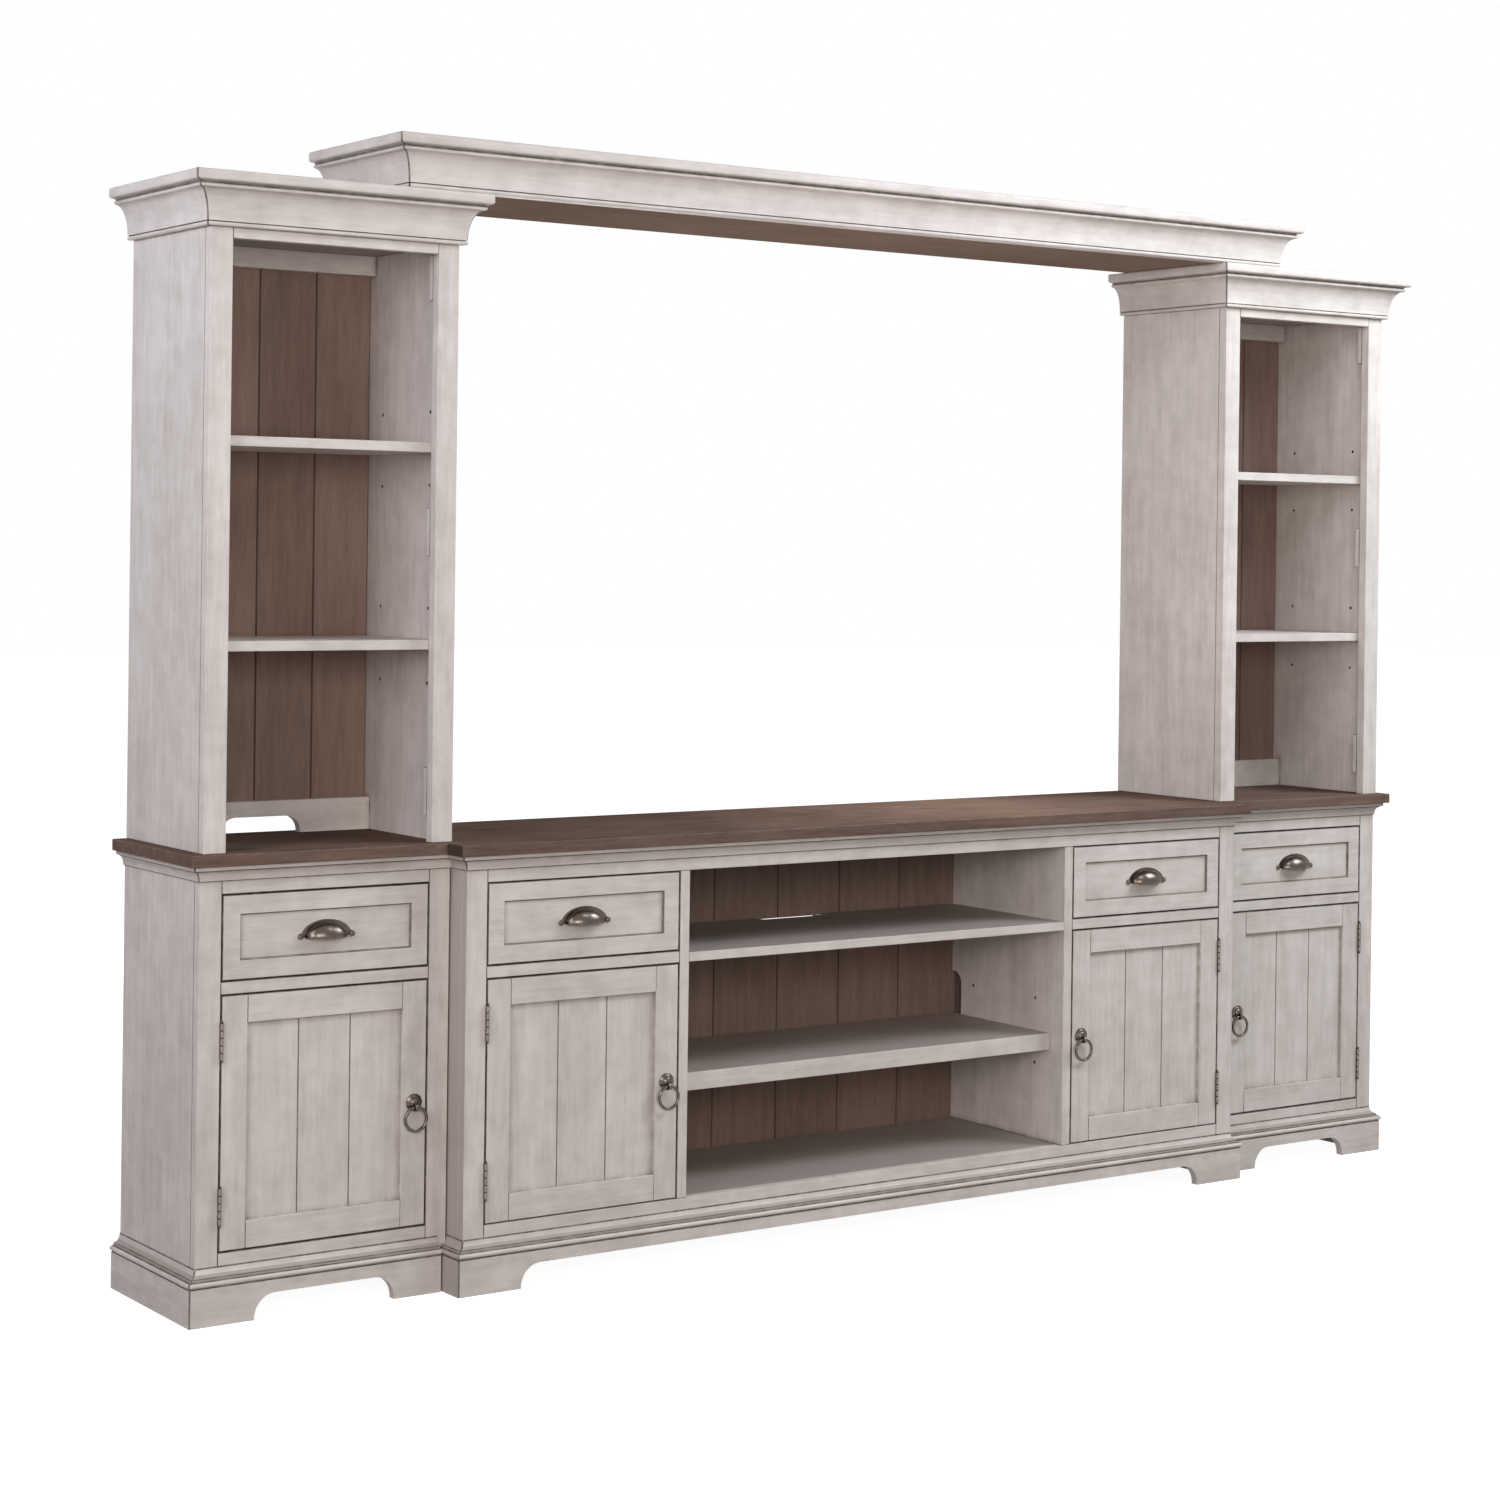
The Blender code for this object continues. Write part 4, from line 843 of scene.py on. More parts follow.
class WallUnitColours(PropertyGroup):
    """Colours of the finishes, linear."""

    paint: colour_setting("Paint", "Antique white paint", (0.745, 0.660, 0.625))
    wash: colour_setting("Wash", "Thin glaze brushed over the paint", (0.345, 0.285, 0.250))
    # Painted shade: darker paint on the console's side returns and their mouldings, and a darker band on the base
    # moulding's step and cap
    shaded: colour_setting("Shaded paint", "Paint that the glaze was left thick on", (0.42, 0.355, 0.325))
    # Painted shade: darker paint on top of the console's shelves and bay floor and under the hutch crowns
    shelf: colour_setting("Shelf", "Greyer paint on top of the console's shelves", (0.350, 0.295, 0.268))
    # Glaze in joints. It also paints shade, in the paint's darkening of corners and under edges, and in reveals and
    # quirks through the joint glaze
    glaze: colour_setting("Glaze", "Glaze settled in joints", (0.055, 0.037, 0.029))
    # Glaze in shallow grooves, and painted shade in the reveals round doors and drawers
    thin_glaze_and_shade: colour_setting("Thin glaze", "Glaze in shallow grooves", (0.150, 0.118, 0.102))
    rubbed: colour_setting("Rubbed edge", "Edges rubbed through the paint", (0.30, 0.25, 0.215))
    top_light: colour_setting("Top, light", "Light grain of the stained tops", (0.228, 0.152, 0.121))
    top_dark: colour_setting("Top, dark", "Dark grain of the stained tops", (0.074, 0.046, 0.035))
    plank_light: colour_setting("Plank, light", "Light grain of the back boards", (0.310, 0.213, 0.177))
    plank_dark: colour_setting("Plank, dark", "Dark grain of the back boards", (0.160, 0.106, 0.086))
    soffit_light: colour_setting("Soffit, light", "Light grain under the bridge", (0.36, 0.265, 0.215))
    soffit_dark: colour_setting("Soffit, dark", "Dark grain under the bridge", (0.22, 0.155, 0.125))
    raw_light: colour_setting("Raw wood, light", "Lacquered drawer boxes", (0.56, 0.44, 0.31))
    raw_dark: colour_setting("Raw wood, dark", "Grain of the drawer boxes", (0.40, 0.29, 0.19))
    nickel: colour_setting("Nickel", "Antique nickel plate of the pulls", (0.118, 0.094, 0.080))
    hinge: colour_setting("Hinge", "Brighter plate of the hinges", (0.25, 0.215, 0.192))
    tarnish: colour_setting("Tarnish", "Dark patina on the nickel", (0.050, 0.037, 0.030))


class WallUnitJoinery(PropertyGroup):
    """Sizes of small joinery details."""

    ease: length_setting("Eased edge", "Bevel along each board's edges", 0.0011)
    top_ease: length_setting("Top's edge", "Bevel round the stained tops", 0.0016)
    mitre_line: length_setting("Mitre line", "Half width of the glaze in a mitre", 0.0022)
    # Reach of the glaze and of the painted shade out of corners
    glaze_and_shade_reach: length_setting("Glaze reach", "How far glaze spreads out of a corner", 0.013)
    groove: length_setting("Plank groove", "Half width of the V between two back boards", 0.002)
    door_groove: length_setting("Door groove", "Half width of the V in a door's panel", 0.0015)
    pin_hole: length_setting("Pin hole", "Radius of the holes for shelf pins", 0.0034)


class WallUnitHardware(PropertyGroup):
    """Sizes of the pulls and hinges."""

    cup_wall: length_setting("Cup wall", "Thickness of the cup pull", 0.0018)
    cup_flange: length_setting("Cup flange", "Width of the rim over the cup", 0.0032)
    cup_shoulder: length_setting("Cup shoulder", "Width of the rim beside the cup", 0.0092)
    ring_wire: length_setting("Ring wire", "Thickness of the ring", 0.0046)
    knuckles: IntProperty(name="Knuckles", description="Knuckles of a hinge's barrel", default=5, min=3, max=9)


class WallUnitStage(PropertyGroup):
    """Camera and lights."""

    lens: FloatProperty(name="Lens", description="Focal length", default=70.4, min=10, unit="CAMERA")
    shift: FloatProperty(name="Shift", description="Vertical shift of the lens", default=-0.1287)
    key: FloatProperty(name="Key light", description="Power of the upper right lamp", default=104, unit="POWER")
    front: FloatProperty(name="Front light", description="Power of the front lamp", default=90, unit="POWER")
    side: FloatProperty(name="Side light", description="Power of the far left lamp", default=82, unit="POWER")
    middle: FloatProperty(name="Middle light", description="Power of the upper middle lamp", default=17, unit="POWER")
    rim: FloatProperty(name="Rim light", description="Power of the near left lamp", default=24, unit="POWER")
    low: FloatProperty(name="Low light", description="Power of the lamp under the bridge", default=5, unit="POWER")
    top: FloatProperty(name="Top light", description="Power of the lamp over the top", default=1.8, unit="POWER")
    back: FloatProperty(name="Back light", description="Power of the lamp behind", default=85, unit="POWER")
    sky: FloatProperty(name="Surroundings", description="Strength of the even light", default=0.07, min=0)


# Measures that the frame gives


def box_of(node):
    """Lowest and highest corner of a CAD node."""
    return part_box(node)


def bay_opening(bay, leaf):
    """x and z of the opening round a door ("door") or drawer front ("drawer_front")."""
    low, high = box_of(f"{bay}_{leaf}")
    return (low.x - REVEAL, high.x + REVEAL), (low.z - REVEAL, high.z + REVEAL)


def block(x, y, z):
    """A board's two corners from its three ranges."""
    return (x[0], y[0], z[0]), (x[1], y[1], z[1])


# Profiles of the mouldings: projection, height above the foot, slot. The joint slot in the quirks and at a foot is
# glaze, and also painted shade under the small steps


def crown_profile(bottom):
    """Bead, quirk, tall cove, small bead, quirk and rounded fascia."""
    shape = [(0.0080, 0.0002, LEVEL)]
    shape += [(a, b, LEVEL) for a, b in arc((0.0088, 0.0038), (0.0036, 0.0036), -80, 80, 6)]
    shape += [(0.0090, 0.0076, JOINT_AND_SHADE), (0.0092, 0.0082, JOINT_AND_SHADE), (0.0118, 0.0086, JOINT_AND_SHADE)]
    shape += [(a, b, LEVEL) for a, b in arc((0.0345, 0.0086), (0.0227, 0.0539), 180, 90, 14)[1:]]
    shape += [(a, b, LEVEL) for a, b in arc((0.0352, 0.0660), (0.0030, 0.0032), -80, 80, 6)]
    shape += [(0.0350, 0.0698, JOINT_AND_SHADE), (0.0350, 0.0712, JOINT_AND_SHADE), (0.0385, 0.0728, LEVEL)]
    shape += [(a, b, LEVEL) for a, b in arc((0.0436, 0.0778), (0.0044, 0.0044), -85, 0, 5)]
    shape += [(a, b, LEVEL) for a, b in arc((0.0432, 0.0877), (0.0048, 0.0048), 0, 90, 5)]
    return [(out, bottom + z, slot) for out, z, slot in shape]


def under_top_profile(top):
    """Foot, cove, quirk and fillet under a top board."""
    bottom = top - 0.0275
    shape = [(0.0020, 0.0, JOINT_AND_SHADE), (0.0022, 0.0012, JOINT_AND_SHADE), (0.0030, 0.0014, JOINT_AND_SHADE)]
    shape += [(a, b, LEVEL) for a, b in arc((0.0128, 0.0014), (0.0098, 0.0170), 180, 90, 8)[1:]]
    shape += [(0.0120, 0.0187, JOINT_AND_SHADE), (0.0120, 0.0198, JOINT_AND_SHADE), (0.0152, 0.0200, JOINT_AND_SHADE)]
    shape += [(a, b, LEVEL) for a, b in arc((0.0152, 0.0218), (0.0018, 0.0018), -80, 0, 3)]
    shape += [(0.0170, 0.0268, LEVEL), (0.0165, 0.0275, LEVEL)]
    return [(out, bottom + z, slot) for out, z, slot in shape]


def base_profile():
    """Plinth board, quirk, round band, step and hollow cap."""
    shape = [(0.0166, 0.0, LEVEL), (0.0170, 0.0006, LEVEL), (0.0170, 0.0660, LEVEL)]
    shape += [(0.0156, 0.0664, JOINT_AND_SHADE), (0.0156, 0.0680, JOINT_AND_SHADE), (0.0168, 0.0684, JOINT_AND_SHADE)]
    shape += [(a, b, LEVEL) for a, b in arc((0.0153, 0.0729), (0.0047, 0.0045), -65, 75, 7)]
    shape += [(0.0146, 0.0776, JOINT_AND_SHADE), (0.0140, 0.0784, JOINT_AND_SHADE), (0.0128, 0.0786, JOINT_AND_SHADE)]
    # The step and the lower part of the cap are darker, in the SHADE slot's paint
    shape += [(0.0126, 0.0818, SHADE)]
    shape += [(0.0108, 0.0820, JOINT_AND_SHADE), (0.0104, 0.0830, JOINT_AND_SHADE)]
    cap = arc((0.0104, 0.0984), (0.0094, 0.0152), -90, -172, 7)
    shape += [(a, b, SHADE if k < 5 else LEVEL) for k, (a, b) in enumerate(cap)]
    shape += [(0.0006, 0.0984, JOINT_AND_SHADE), (0.0004, 0.0990, JOINT_AND_SHADE)]
    return shape


# Operators, one for each piece or group of like pieces


class WALL_UNIT_OT_finishes(Operator):
    """Make the node groups and materials of all finishes."""

    bl_idname = "wall_unit.finishes"
    bl_label = "Finishes"

    def execute(self, context):
        colours = context.scene.wall_unit_colours
        for build in (paint_group, recess_group, grain_group, tarnish_group):
            build()
        for grain in ("upright", "level", "deep"):
            paint_material("paint_" + grain, colours.paint, grain)
            wood_material("stain_" + grain, colours.top_light, colours.top_dark, grain, gloss=0.0)
            wood_material("raw_" + grain, colours.raw_light, colours.raw_dark, grain)
        paint_material("paint_edge", colours.paint, "none", 1.3, edge=True)
        paint_material("paint_shade", colours.shaded, "level", 0.8)
        paint_material("paint_deep_shade", colours.shelf, "level", 0.8)
        glaze_material("glaze_line_and_shade", colours.glaze, colours.wash)
        glaze_material("glaze_soft_and_shade", colours.thin_glaze_and_shade, colours.wash)
        wood_material("stain_edge", colours.top_light, colours.top_dark, "level", wear=0.3)
        wood_material("stain_joint", colours.top_dark, colours.glaze, "level")
        wood_material("raw_edge", colours.raw_light, colours.raw_dark, "level", wear=0.2)
        wood_material("raw_joint", colours.raw_dark, colours.glaze, "level")
        wood_material("soffit", colours.soffit_light, colours.soffit_dark, "level", gloss=0.0)
        for node, pitch, start in plank_layout():
            plank = (pitch, start, 0.22)
            wood_material(node + "_boards", colours.plank_light, colours.plank_dark, "upright", plank)
        wood_material("plank_groove", colours.plank_dark, colours.glaze, "upright")
        nickel_material("nickel", colours.nickel, 0.32)
        nickel_material("nickel_light", colours.hinge, 0.4)
        nickel_material("nickel_recess", colours.nickel, 1.0)
        return {"FINISHED"}


HUTCH_PLANK = 0.1155
CONSOLE_PLANK = 0.160
HUTCH_PLANK_SHIFT = 0.005


def plank_layout():
    """Back panels with the width of their planks and the place of one groove."""
    layout = [("console_back_panel", CONSOLE_PLANK, 0.0)]
    for side in ("left", "right"):
        low, high = box_of(f"{side}_hutch_back_panel")
        layout.append((f"{side}_hutch_back_panel", HUTCH_PLANK, (low.x + high.x) / 2 - HUTCH_PLANK_SHIFT))
    return layout


class WALL_UNIT_OT_face_frames(Operator):
    """Stiles and rails of the three base units, with the moulding under their tops."""

    bl_idname = "wall_unit.face_frames"
    bl_label = "Base Face Frames"

    def execute(self, context):
        for bay in PIER_BAYS:
            self.pier(bay)
        self.console()
        return {"FINISHED"}

    def pier(self, bay):
        low, high = box_of(bay + "_face_frame")
        case_low, case_high = box_of(bay + "_case")
        front = box_of(bay + "_door")[0].y
        thick = (front, front + FRAME_THICKNESS)
        body_top = high.z
        (left, right), (door_z, door_top) = bay_opening(bay, "door")
        _, (drawer_z, drawer_top) = bay_opening(bay, "drawer_front")
        upright = (low.z, body_top)
        spans = [block((case_low.x, left), thick, upright), block((right, case_high.x), thick, upright)]
        for z in ((low.z, door_z), (door_top, drawer_z), (drawer_top, body_top)):
            spans.append(block((left, right), thick, z))
        joinery = boards(bay + "_stiles", spans)
        side = -1 if bay.startswith("left") else 1
        inner = low.x if side > 0 else high.x
        bays = [((left, right), (door_z, door_top)), ((left, right), (drawer_z, drawer_top))]
        bays.append(((inner, inner), (low.z, body_top)))
        shade_openings(joinery, front, bays)
        x = (inner, case_high.x) if side > 0 else (case_low.x, inner)
        grows = (side < 0, side > 0)
        trim = moulded(bay + "_trim", x, (front, high.y), under_top_profile(body_top), grows)
        past = 0.05
        cut_low = (case_low.x - (0 if side < 0 else past), front, body_top - past)
        cut_high = (case_high.x + (past if side < 0 else 0), high.y + past, body_top + past)
        cut_away(trim, [cutter(cut_low, cut_high)])
        soften(trim, 24)
        hand_over(join(bay + "_frame_and_trim", [joinery, trim]), bay + "_face_frame")

    def console(self):
        low, high = box_of("console_face_frame")
        case_low, case_high = box_of("console_case")
        front = box_of("console_left_door")[0].y
        thick = (front, front + FRAME_THICKNESS)
        body_top = high.z
        _, (door_z, door_top) = bay_opening("console_left", "door")
        _, (drawer_z, drawer_top) = bay_opening("console_left", "drawer_front")
        bays = [bay_opening(bay, "door")[0] for bay in CONSOLE_BAYS]
        high_case = case_high.x
        outer = (bays[0][0], bays[1][1])
        spans = [block((case_low.x, outer[0]), thick, (low.z, body_top))]
        spans.append(block((outer[1], case_high.x), thick, (low.z, body_top)))
        spans.append(block(outer, thick, (low.z, door_z)))
        spans.append(block(outer, thick, (drawer_top, body_top)))
        for (left, right), divider in ((bays[0], 1), (bays[1], 0)):
            edge = (left, right)[divider]
            inner = math.copysign(CENTRE_HALF, edge)
            spans.append(block(sorted((edge, inner)), thick, (door_z, drawer_top)))
            spans.append(block((left, right), thick, (door_top, drawer_z)))
        joinery = boards("console_stiles", spans)
        rows = ((door_z, door_top), (drawer_z, drawer_top))
        shade_openings(joinery, front, [(x, z) for x in bays for z in rows])
        # Painted shade on the outer faces of the end stiles, the console's side returns
        repaint(joinery, SHADE, lambda c, n: abs(n.x) > 0.9 and abs(c.x) > high_case - 0.001)
        x = (case_low.x, case_high.x)
        trim = moulded("console_trim", x, (front, high.y), under_top_profile(body_top))
        past = 0.05
        cut_away(trim, [cutter((x[0], front, body_top - past), (x[1], high.y + past, body_top + past))])
        soften(trim, 24)
        # Painted shade on the moulding's side returns
        shade_returns(trim)
        hand_over(join("console_frame_and_trim", [joinery, trim]), "console_face_frame")


PIER_FEET = (0.122, 0.095)
CONSOLE_FOOT = 0.130
FOOT_CURVE = 0.040
ARCH = 0.044
PLINTH_PROUD = 0.017


def foot_arch(left, right, steps=10):
    """Outline of the opening between two bracket feet."""
    below = -0.02
    rise = arc((left + FOOT_CURVE, 0.003), (FOOT_CURVE, ARCH - 0.003), 180, 90, steps)
    fall = arc((right - FOOT_CURVE, 0.003), (FOOT_CURVE, ARCH - 0.003), 90, 0, steps)
    return [(left, below), *rise, *fall, (right, below)]


class WALL_UNIT_OT_plinths(Operator):
    """Plinths with bracket feet and the base moulding."""

    bl_idname = "wall_unit.plinths"
    bl_label = "Plinths"

    def execute(self, context):
        for unit in (*PIER_BAYS, "console"):
            low, high = box_of(unit + "_plinth")
            case_low, case_high = box_of(unit + "_case")
            door = "console_left_door" if unit == "console" else unit + "_door"
            front = box_of(door)[0].y
            if unit == "console":
                x, grows = (case_low.x, case_high.x), (True, True)
                reach = CONSOLE_FOOT - PLINTH_PROUD
                feet = (case_low.x + reach, case_high.x - reach)
            elif unit == "left_pier":
                x, grows = (case_low.x, high.x), (True, False)
                feet = (case_low.x + PIER_FEET[0] - PLINTH_PROUD, high.x - PIER_FEET[1])
            else:
                x, grows = (low.x, case_high.x), (False, True)
                feet = (low.x + PIER_FEET[1], case_high.x - PIER_FEET[0] + PLINTH_PROUD)
            body = moulded(unit + "_plinth_and_base", x, (front, high.y), base_profile(), grows)
            past = 0.05
            room_low = (x[0] - (SEAT if grows[0] else past), front - SEAT, -past)
            room_high = (x[1] + (SEAT if grows[1] else past), high.y + past, 0.2)
            arch = outline_cutter(foot_arch(*feet), 1, front - past, front + past)
            cut_away(body, [cutter(room_low, room_high), arch])
            soften(body, 24)
            # Painted shade on the console plinth's side returns
            if unit == "console":
                shade_returns(body)
            hand_over(body, unit + "_plinth")
        return {"FINISHED"}


class WALL_UNIT_OT_cases(Operator):
    """Sides, floors, dividers, runners and backs of the three base units."""

    bl_idname = "wall_unit.cases"
    bl_label = "Base Cases"

    def execute(self, context):
        for bay in PIER_BAYS:
            self.pier(bay)
        self.console()
        return {"FINISHED"}

    def runner_z(self, bay):
        top = box_of(bay + "_drawer_box")[0].z - SEAT
        return top - 0.018, top

    def pier(self, bay):
        low, high = box_of(bay + "_case")
        room = (low.x + BOARD, high.x - BOARD)
        y = (low.y, high.y)
        rear = high.y - 0.010
        spans = [block((low.x, room[0]), y, (low.z, high.z)), block((room[1], high.x), y, (low.z, high.z))]
        spans.append(block(room, (low.y, rear), (BOTTOM_RAIL_TOP - BOARD, BOTTOM_RAIL_TOP)))
        spans.append(block(room, (rear, high.y), (0.067, high.z)))
        (left, right), _ = bay_opening(bay, "door")
        ledge = 0.017
        for x in ((room[0], left + ledge), (right - ledge, room[1])):
            spans.append(block(x, (low.y, rear), self.runner_z(bay)))
        carcase = boards(bay + "_carcase", spans)
        glaze_front(carcase, low.y)
        hand_over(carcase, bay + "_case")

    def console(self):
        low, high = box_of("console_case")
        front = low.y
        rear = box_of("console_back_panel")[0].y - SEAT
        holes = context_holes()
        middle = CENTRE_HALF + DIVIDER_STILE / 2
        faces = (middle - DIVIDER_BOARD / 2, middle + DIVIDER_BOARD / 2)
        floor = (BOTTOM_RAIL_TOP - BOARD, BOTTOM_RAIL_TOP)
        spans = [block((low.x, low.x + BOARD), (front, high.y), (low.z, high.z))]
        spans.append(block((high.x - BOARD, high.x), (front, high.y), (low.z, high.z)))
        spans.append(block((low.x + BOARD, high.x - BOARD), (front, rear), floor))
        for side, bay in ((-1, "console_left"), (1, "console_right")):
            (left, right), _ = bay_opening(bay, "door")
            near, far = (right, left) if side < 0 else (left, right)
            wall = side * (high.x - BOARD)
            ledge = 0.017
            z = self.runner_z(bay)
            spans.append(block(sorted((side * faces[1], near + side * ledge)), (front, rear), z))
            spans.append(block(sorted((far - side * ledge, wall)), (front, rear), z))
        parts = [boards("console_sides", spans)]
        # Painted shade on the bay floor's top
        repaint(parts[0], SHADOWED, lambda c, n: n.z > 0.9 and abs(c.z - BOTTOM_RAIL_TOP) < SEAT)
        # Painted shade on the console's outer sides, its side returns
        repaint(parts[0], SHADE, lambda c, n: abs(n.x) > 0.9 and abs(c.x) > high.x - SEAT)
        for side in (-1, 1):
            x = sorted((side * faces[0], side * faces[1]))
            wall = boards("console_divider", [block(x, (front, rear), (BOTTOM_RAIL_TOP, high.z))])
            notch = outline_cutter(divider_notch(rear), 0, x[0] - 0.01, x[1] + 0.01)
            cut_away(wall, [notch])
            places = [(side * faces[0], y, z) for y in (-0.08675, 0.11825) for z in (0.416, 0.2805)]
            drill(wall, places, holes, 0.008)
            parts.append(wall)
        hand_over(join("console_carcase", parts), "console_case")


def context_holes():
    """Radius of the holes for shelf pins."""
    return bpy.context.scene.wall_unit_joinery.pin_hole


def divider_notch(rear):
    """Outline, in Y and Z, of the cable notch in a divider's rear edge."""
    front, low, high, curve = rear - 0.032, 0.262, 0.440, 0.026
    lower = arc((front + curve, low + curve), (curve, curve), 270, 180, 7)
    upper = arc((front + curve, high - curve), (curve, curve), 180, 90, 7)
    return [(rear + 0.02, low), *lower, *upper, (rear + 0.02, high)]


class WALL_UNIT_OT_tops(Operator):
    """The three stained tops with eased edges."""

    bl_idname = "wall_unit.tops"
    bl_label = "Tops"

    def execute(self, context):
        ease = context.scene.wall_unit_joinery.top_ease
        for bay in PIER_BAYS:
            top = boards(bay + "_stained_top", [box_of(bay + "_top")], STAIN, ease)
            hand_over(top, bay + "_top")
        low, high = box_of("console_top")
        step = box_of("left_pier_top")
        narrow = -step[1].x - SEAT
        tidy_selection()
        add_cube(low, high)
        top = begin("console_stained_top", STAIN)
        past = 0.05
        for side in (-1, 1):
            corner = (side * narrow, step[0].y - 0.001, low.z - past)
            cut_away(top, [cutter(corner, (side * (high.x + past), high.y + past, high.z + past))])
        edit(top)
        bpy.ops.mesh.select_all(action="SELECT")
        top.active_material_index = LEVEL
        bpy.ops.object.material_slot_assign()
        bpy.ops.mesh.dissolve_limited(angle_limit=math.radians(1))
        bpy.ops.mesh.select_all(action="SELECT")
        ease_edges(ease)
        tidy_selection()
        repaint(top, JOINT_AND_SHADE, lambda c, n: abs(n.x) > 0.9)
        hand_over(top, "console_top")
        return {"FINISHED"}


class WALL_UNIT_OT_backs(Operator):
    """Back panels of upright boards with a V between each two."""

    bl_idname = "wall_unit.backs"
    bl_label = "Back Panels"

    def execute(self, context):
        groove = context.scene.wall_unit_joinery.groove
        lap = 0.0001
        for node, pitch, start in plank_layout():
            low, high = box_of(node)
            first = math.ceil((low.x - start) / pitch)
            edges = [low.x]
            while start + first * pitch < high.x - groove:
                if start + first * pitch > low.x + groove:
                    edges.append(start + first * pitch)
                first += 1
            edges.append(high.x)
            tidy_selection()
            slots = (node + "_boards", "plank_groove")
            parts = []
            for k, (a, b) in enumerate(zip(edges, edges[1:])):
                tidy_selection()
                start_x, end_x = max(a - lap, low.x), min(b + lap, high.x)
                add_cube((start_x, low.y, low.z), (end_x, high.y, high.z))
                plank = begin(f"plank_{k}", slots)
                edit(plank)
                select_edges(plank, lambda p, q: abs(p.z - q.z) > 0.1 and p.y < low.y + lap)
                ease_edges(groove, 1, 1)
                tidy_selection()
                parts.append(plank)
            if node == "console_back_panel":
                self.cable_slot(parts, high)
            hand_over(join(node + "_planks", parts), node)
        return {"FINISHED"}

    def cable_slot(self, planks, high):
        half, shift, top, tall = 0.081, 0.018, 0.5820, 0.0475
        for plank in planks:
            left = min(corner[0] for corner in plank.bound_box)
            right = max(corner[0] for corner in plank.bound_box)
            if left < shift + half and right > shift - half:
                low = (shift - half, high.y - 0.05, top - tall)
                cut_away(plank, [cutter(low, (shift + half, high.y + 0.05, top))])


class WALL_UNIT_OT_console_shelves(Operator):
    """Fixed and adjustable shelf of the console."""

    bl_idname = "wall_unit.console_shelves"
    bl_label = "Console Shelves"

    def execute(self, context):
        low, high = box_of("console_upper_shelf")
        inner = CENTRE_HALF - SEAT
        frame_back = low.y + FRAME_THICKNESS + SEAT
        lip = boards("lip", [block((-inner, inner), (low.y, frame_back), (low.z, high.z))])
        plate = boards("plate", [block((low.x, high.x), (frame_back, high.y), (low.z, high.z))])
        half, shift, deep = 0.081, 0.018, 0.030
        front, curve = high.y - deep, deep / 2
        left = arc((shift - half + curve, front + curve), (curve, curve), 180, 270, 7)
        right = arc((shift + half - curve, front + curve), (curve, curve), 270, 360, 7)
        past = 0.02
        outline = [(shift - half, high.y + past), *left, *right, (shift + half, high.y + past)]
        cut_away(plate, [outline_cutter(outline, 2, low.z - past, high.z + past)])
        shelf = join("console_fixed_shelf", [plate, lip])
        # Painted shade on the shelf's top faces
        repaint(shelf, SHADOWED, lambda c, n: n.z > 0.9)
        hand_over(shelf, "console_upper_shelf")
        low, high = box_of("console_lower_shelf")
        nose = low.y + 0.020
        spans = [block((low.x, high.x), (low.y, nose), (low.z, high.z))]
        spans.append(block((low.x, high.x), (nose, high.y), (high.z - 0.019, high.z)))
        shelf = boards("console_adjustable_shelf", spans)
        # Painted shade on the shelf's top faces
        repaint(shelf, SHADOWED, lambda c, n: n.z > 0.9)
        hand_over(shelf, "console_lower_shelf")
        return {"FINISHED"}


# Blocks behind the right stile of each hutch, to screw a door's hinges to: low and high ends
HINGE_BLOCKS = ((0.860, 0.948), (1.330, 1.418), (1.793, 1.876))
HINGE_BLOCK_DEPTH = 0.013


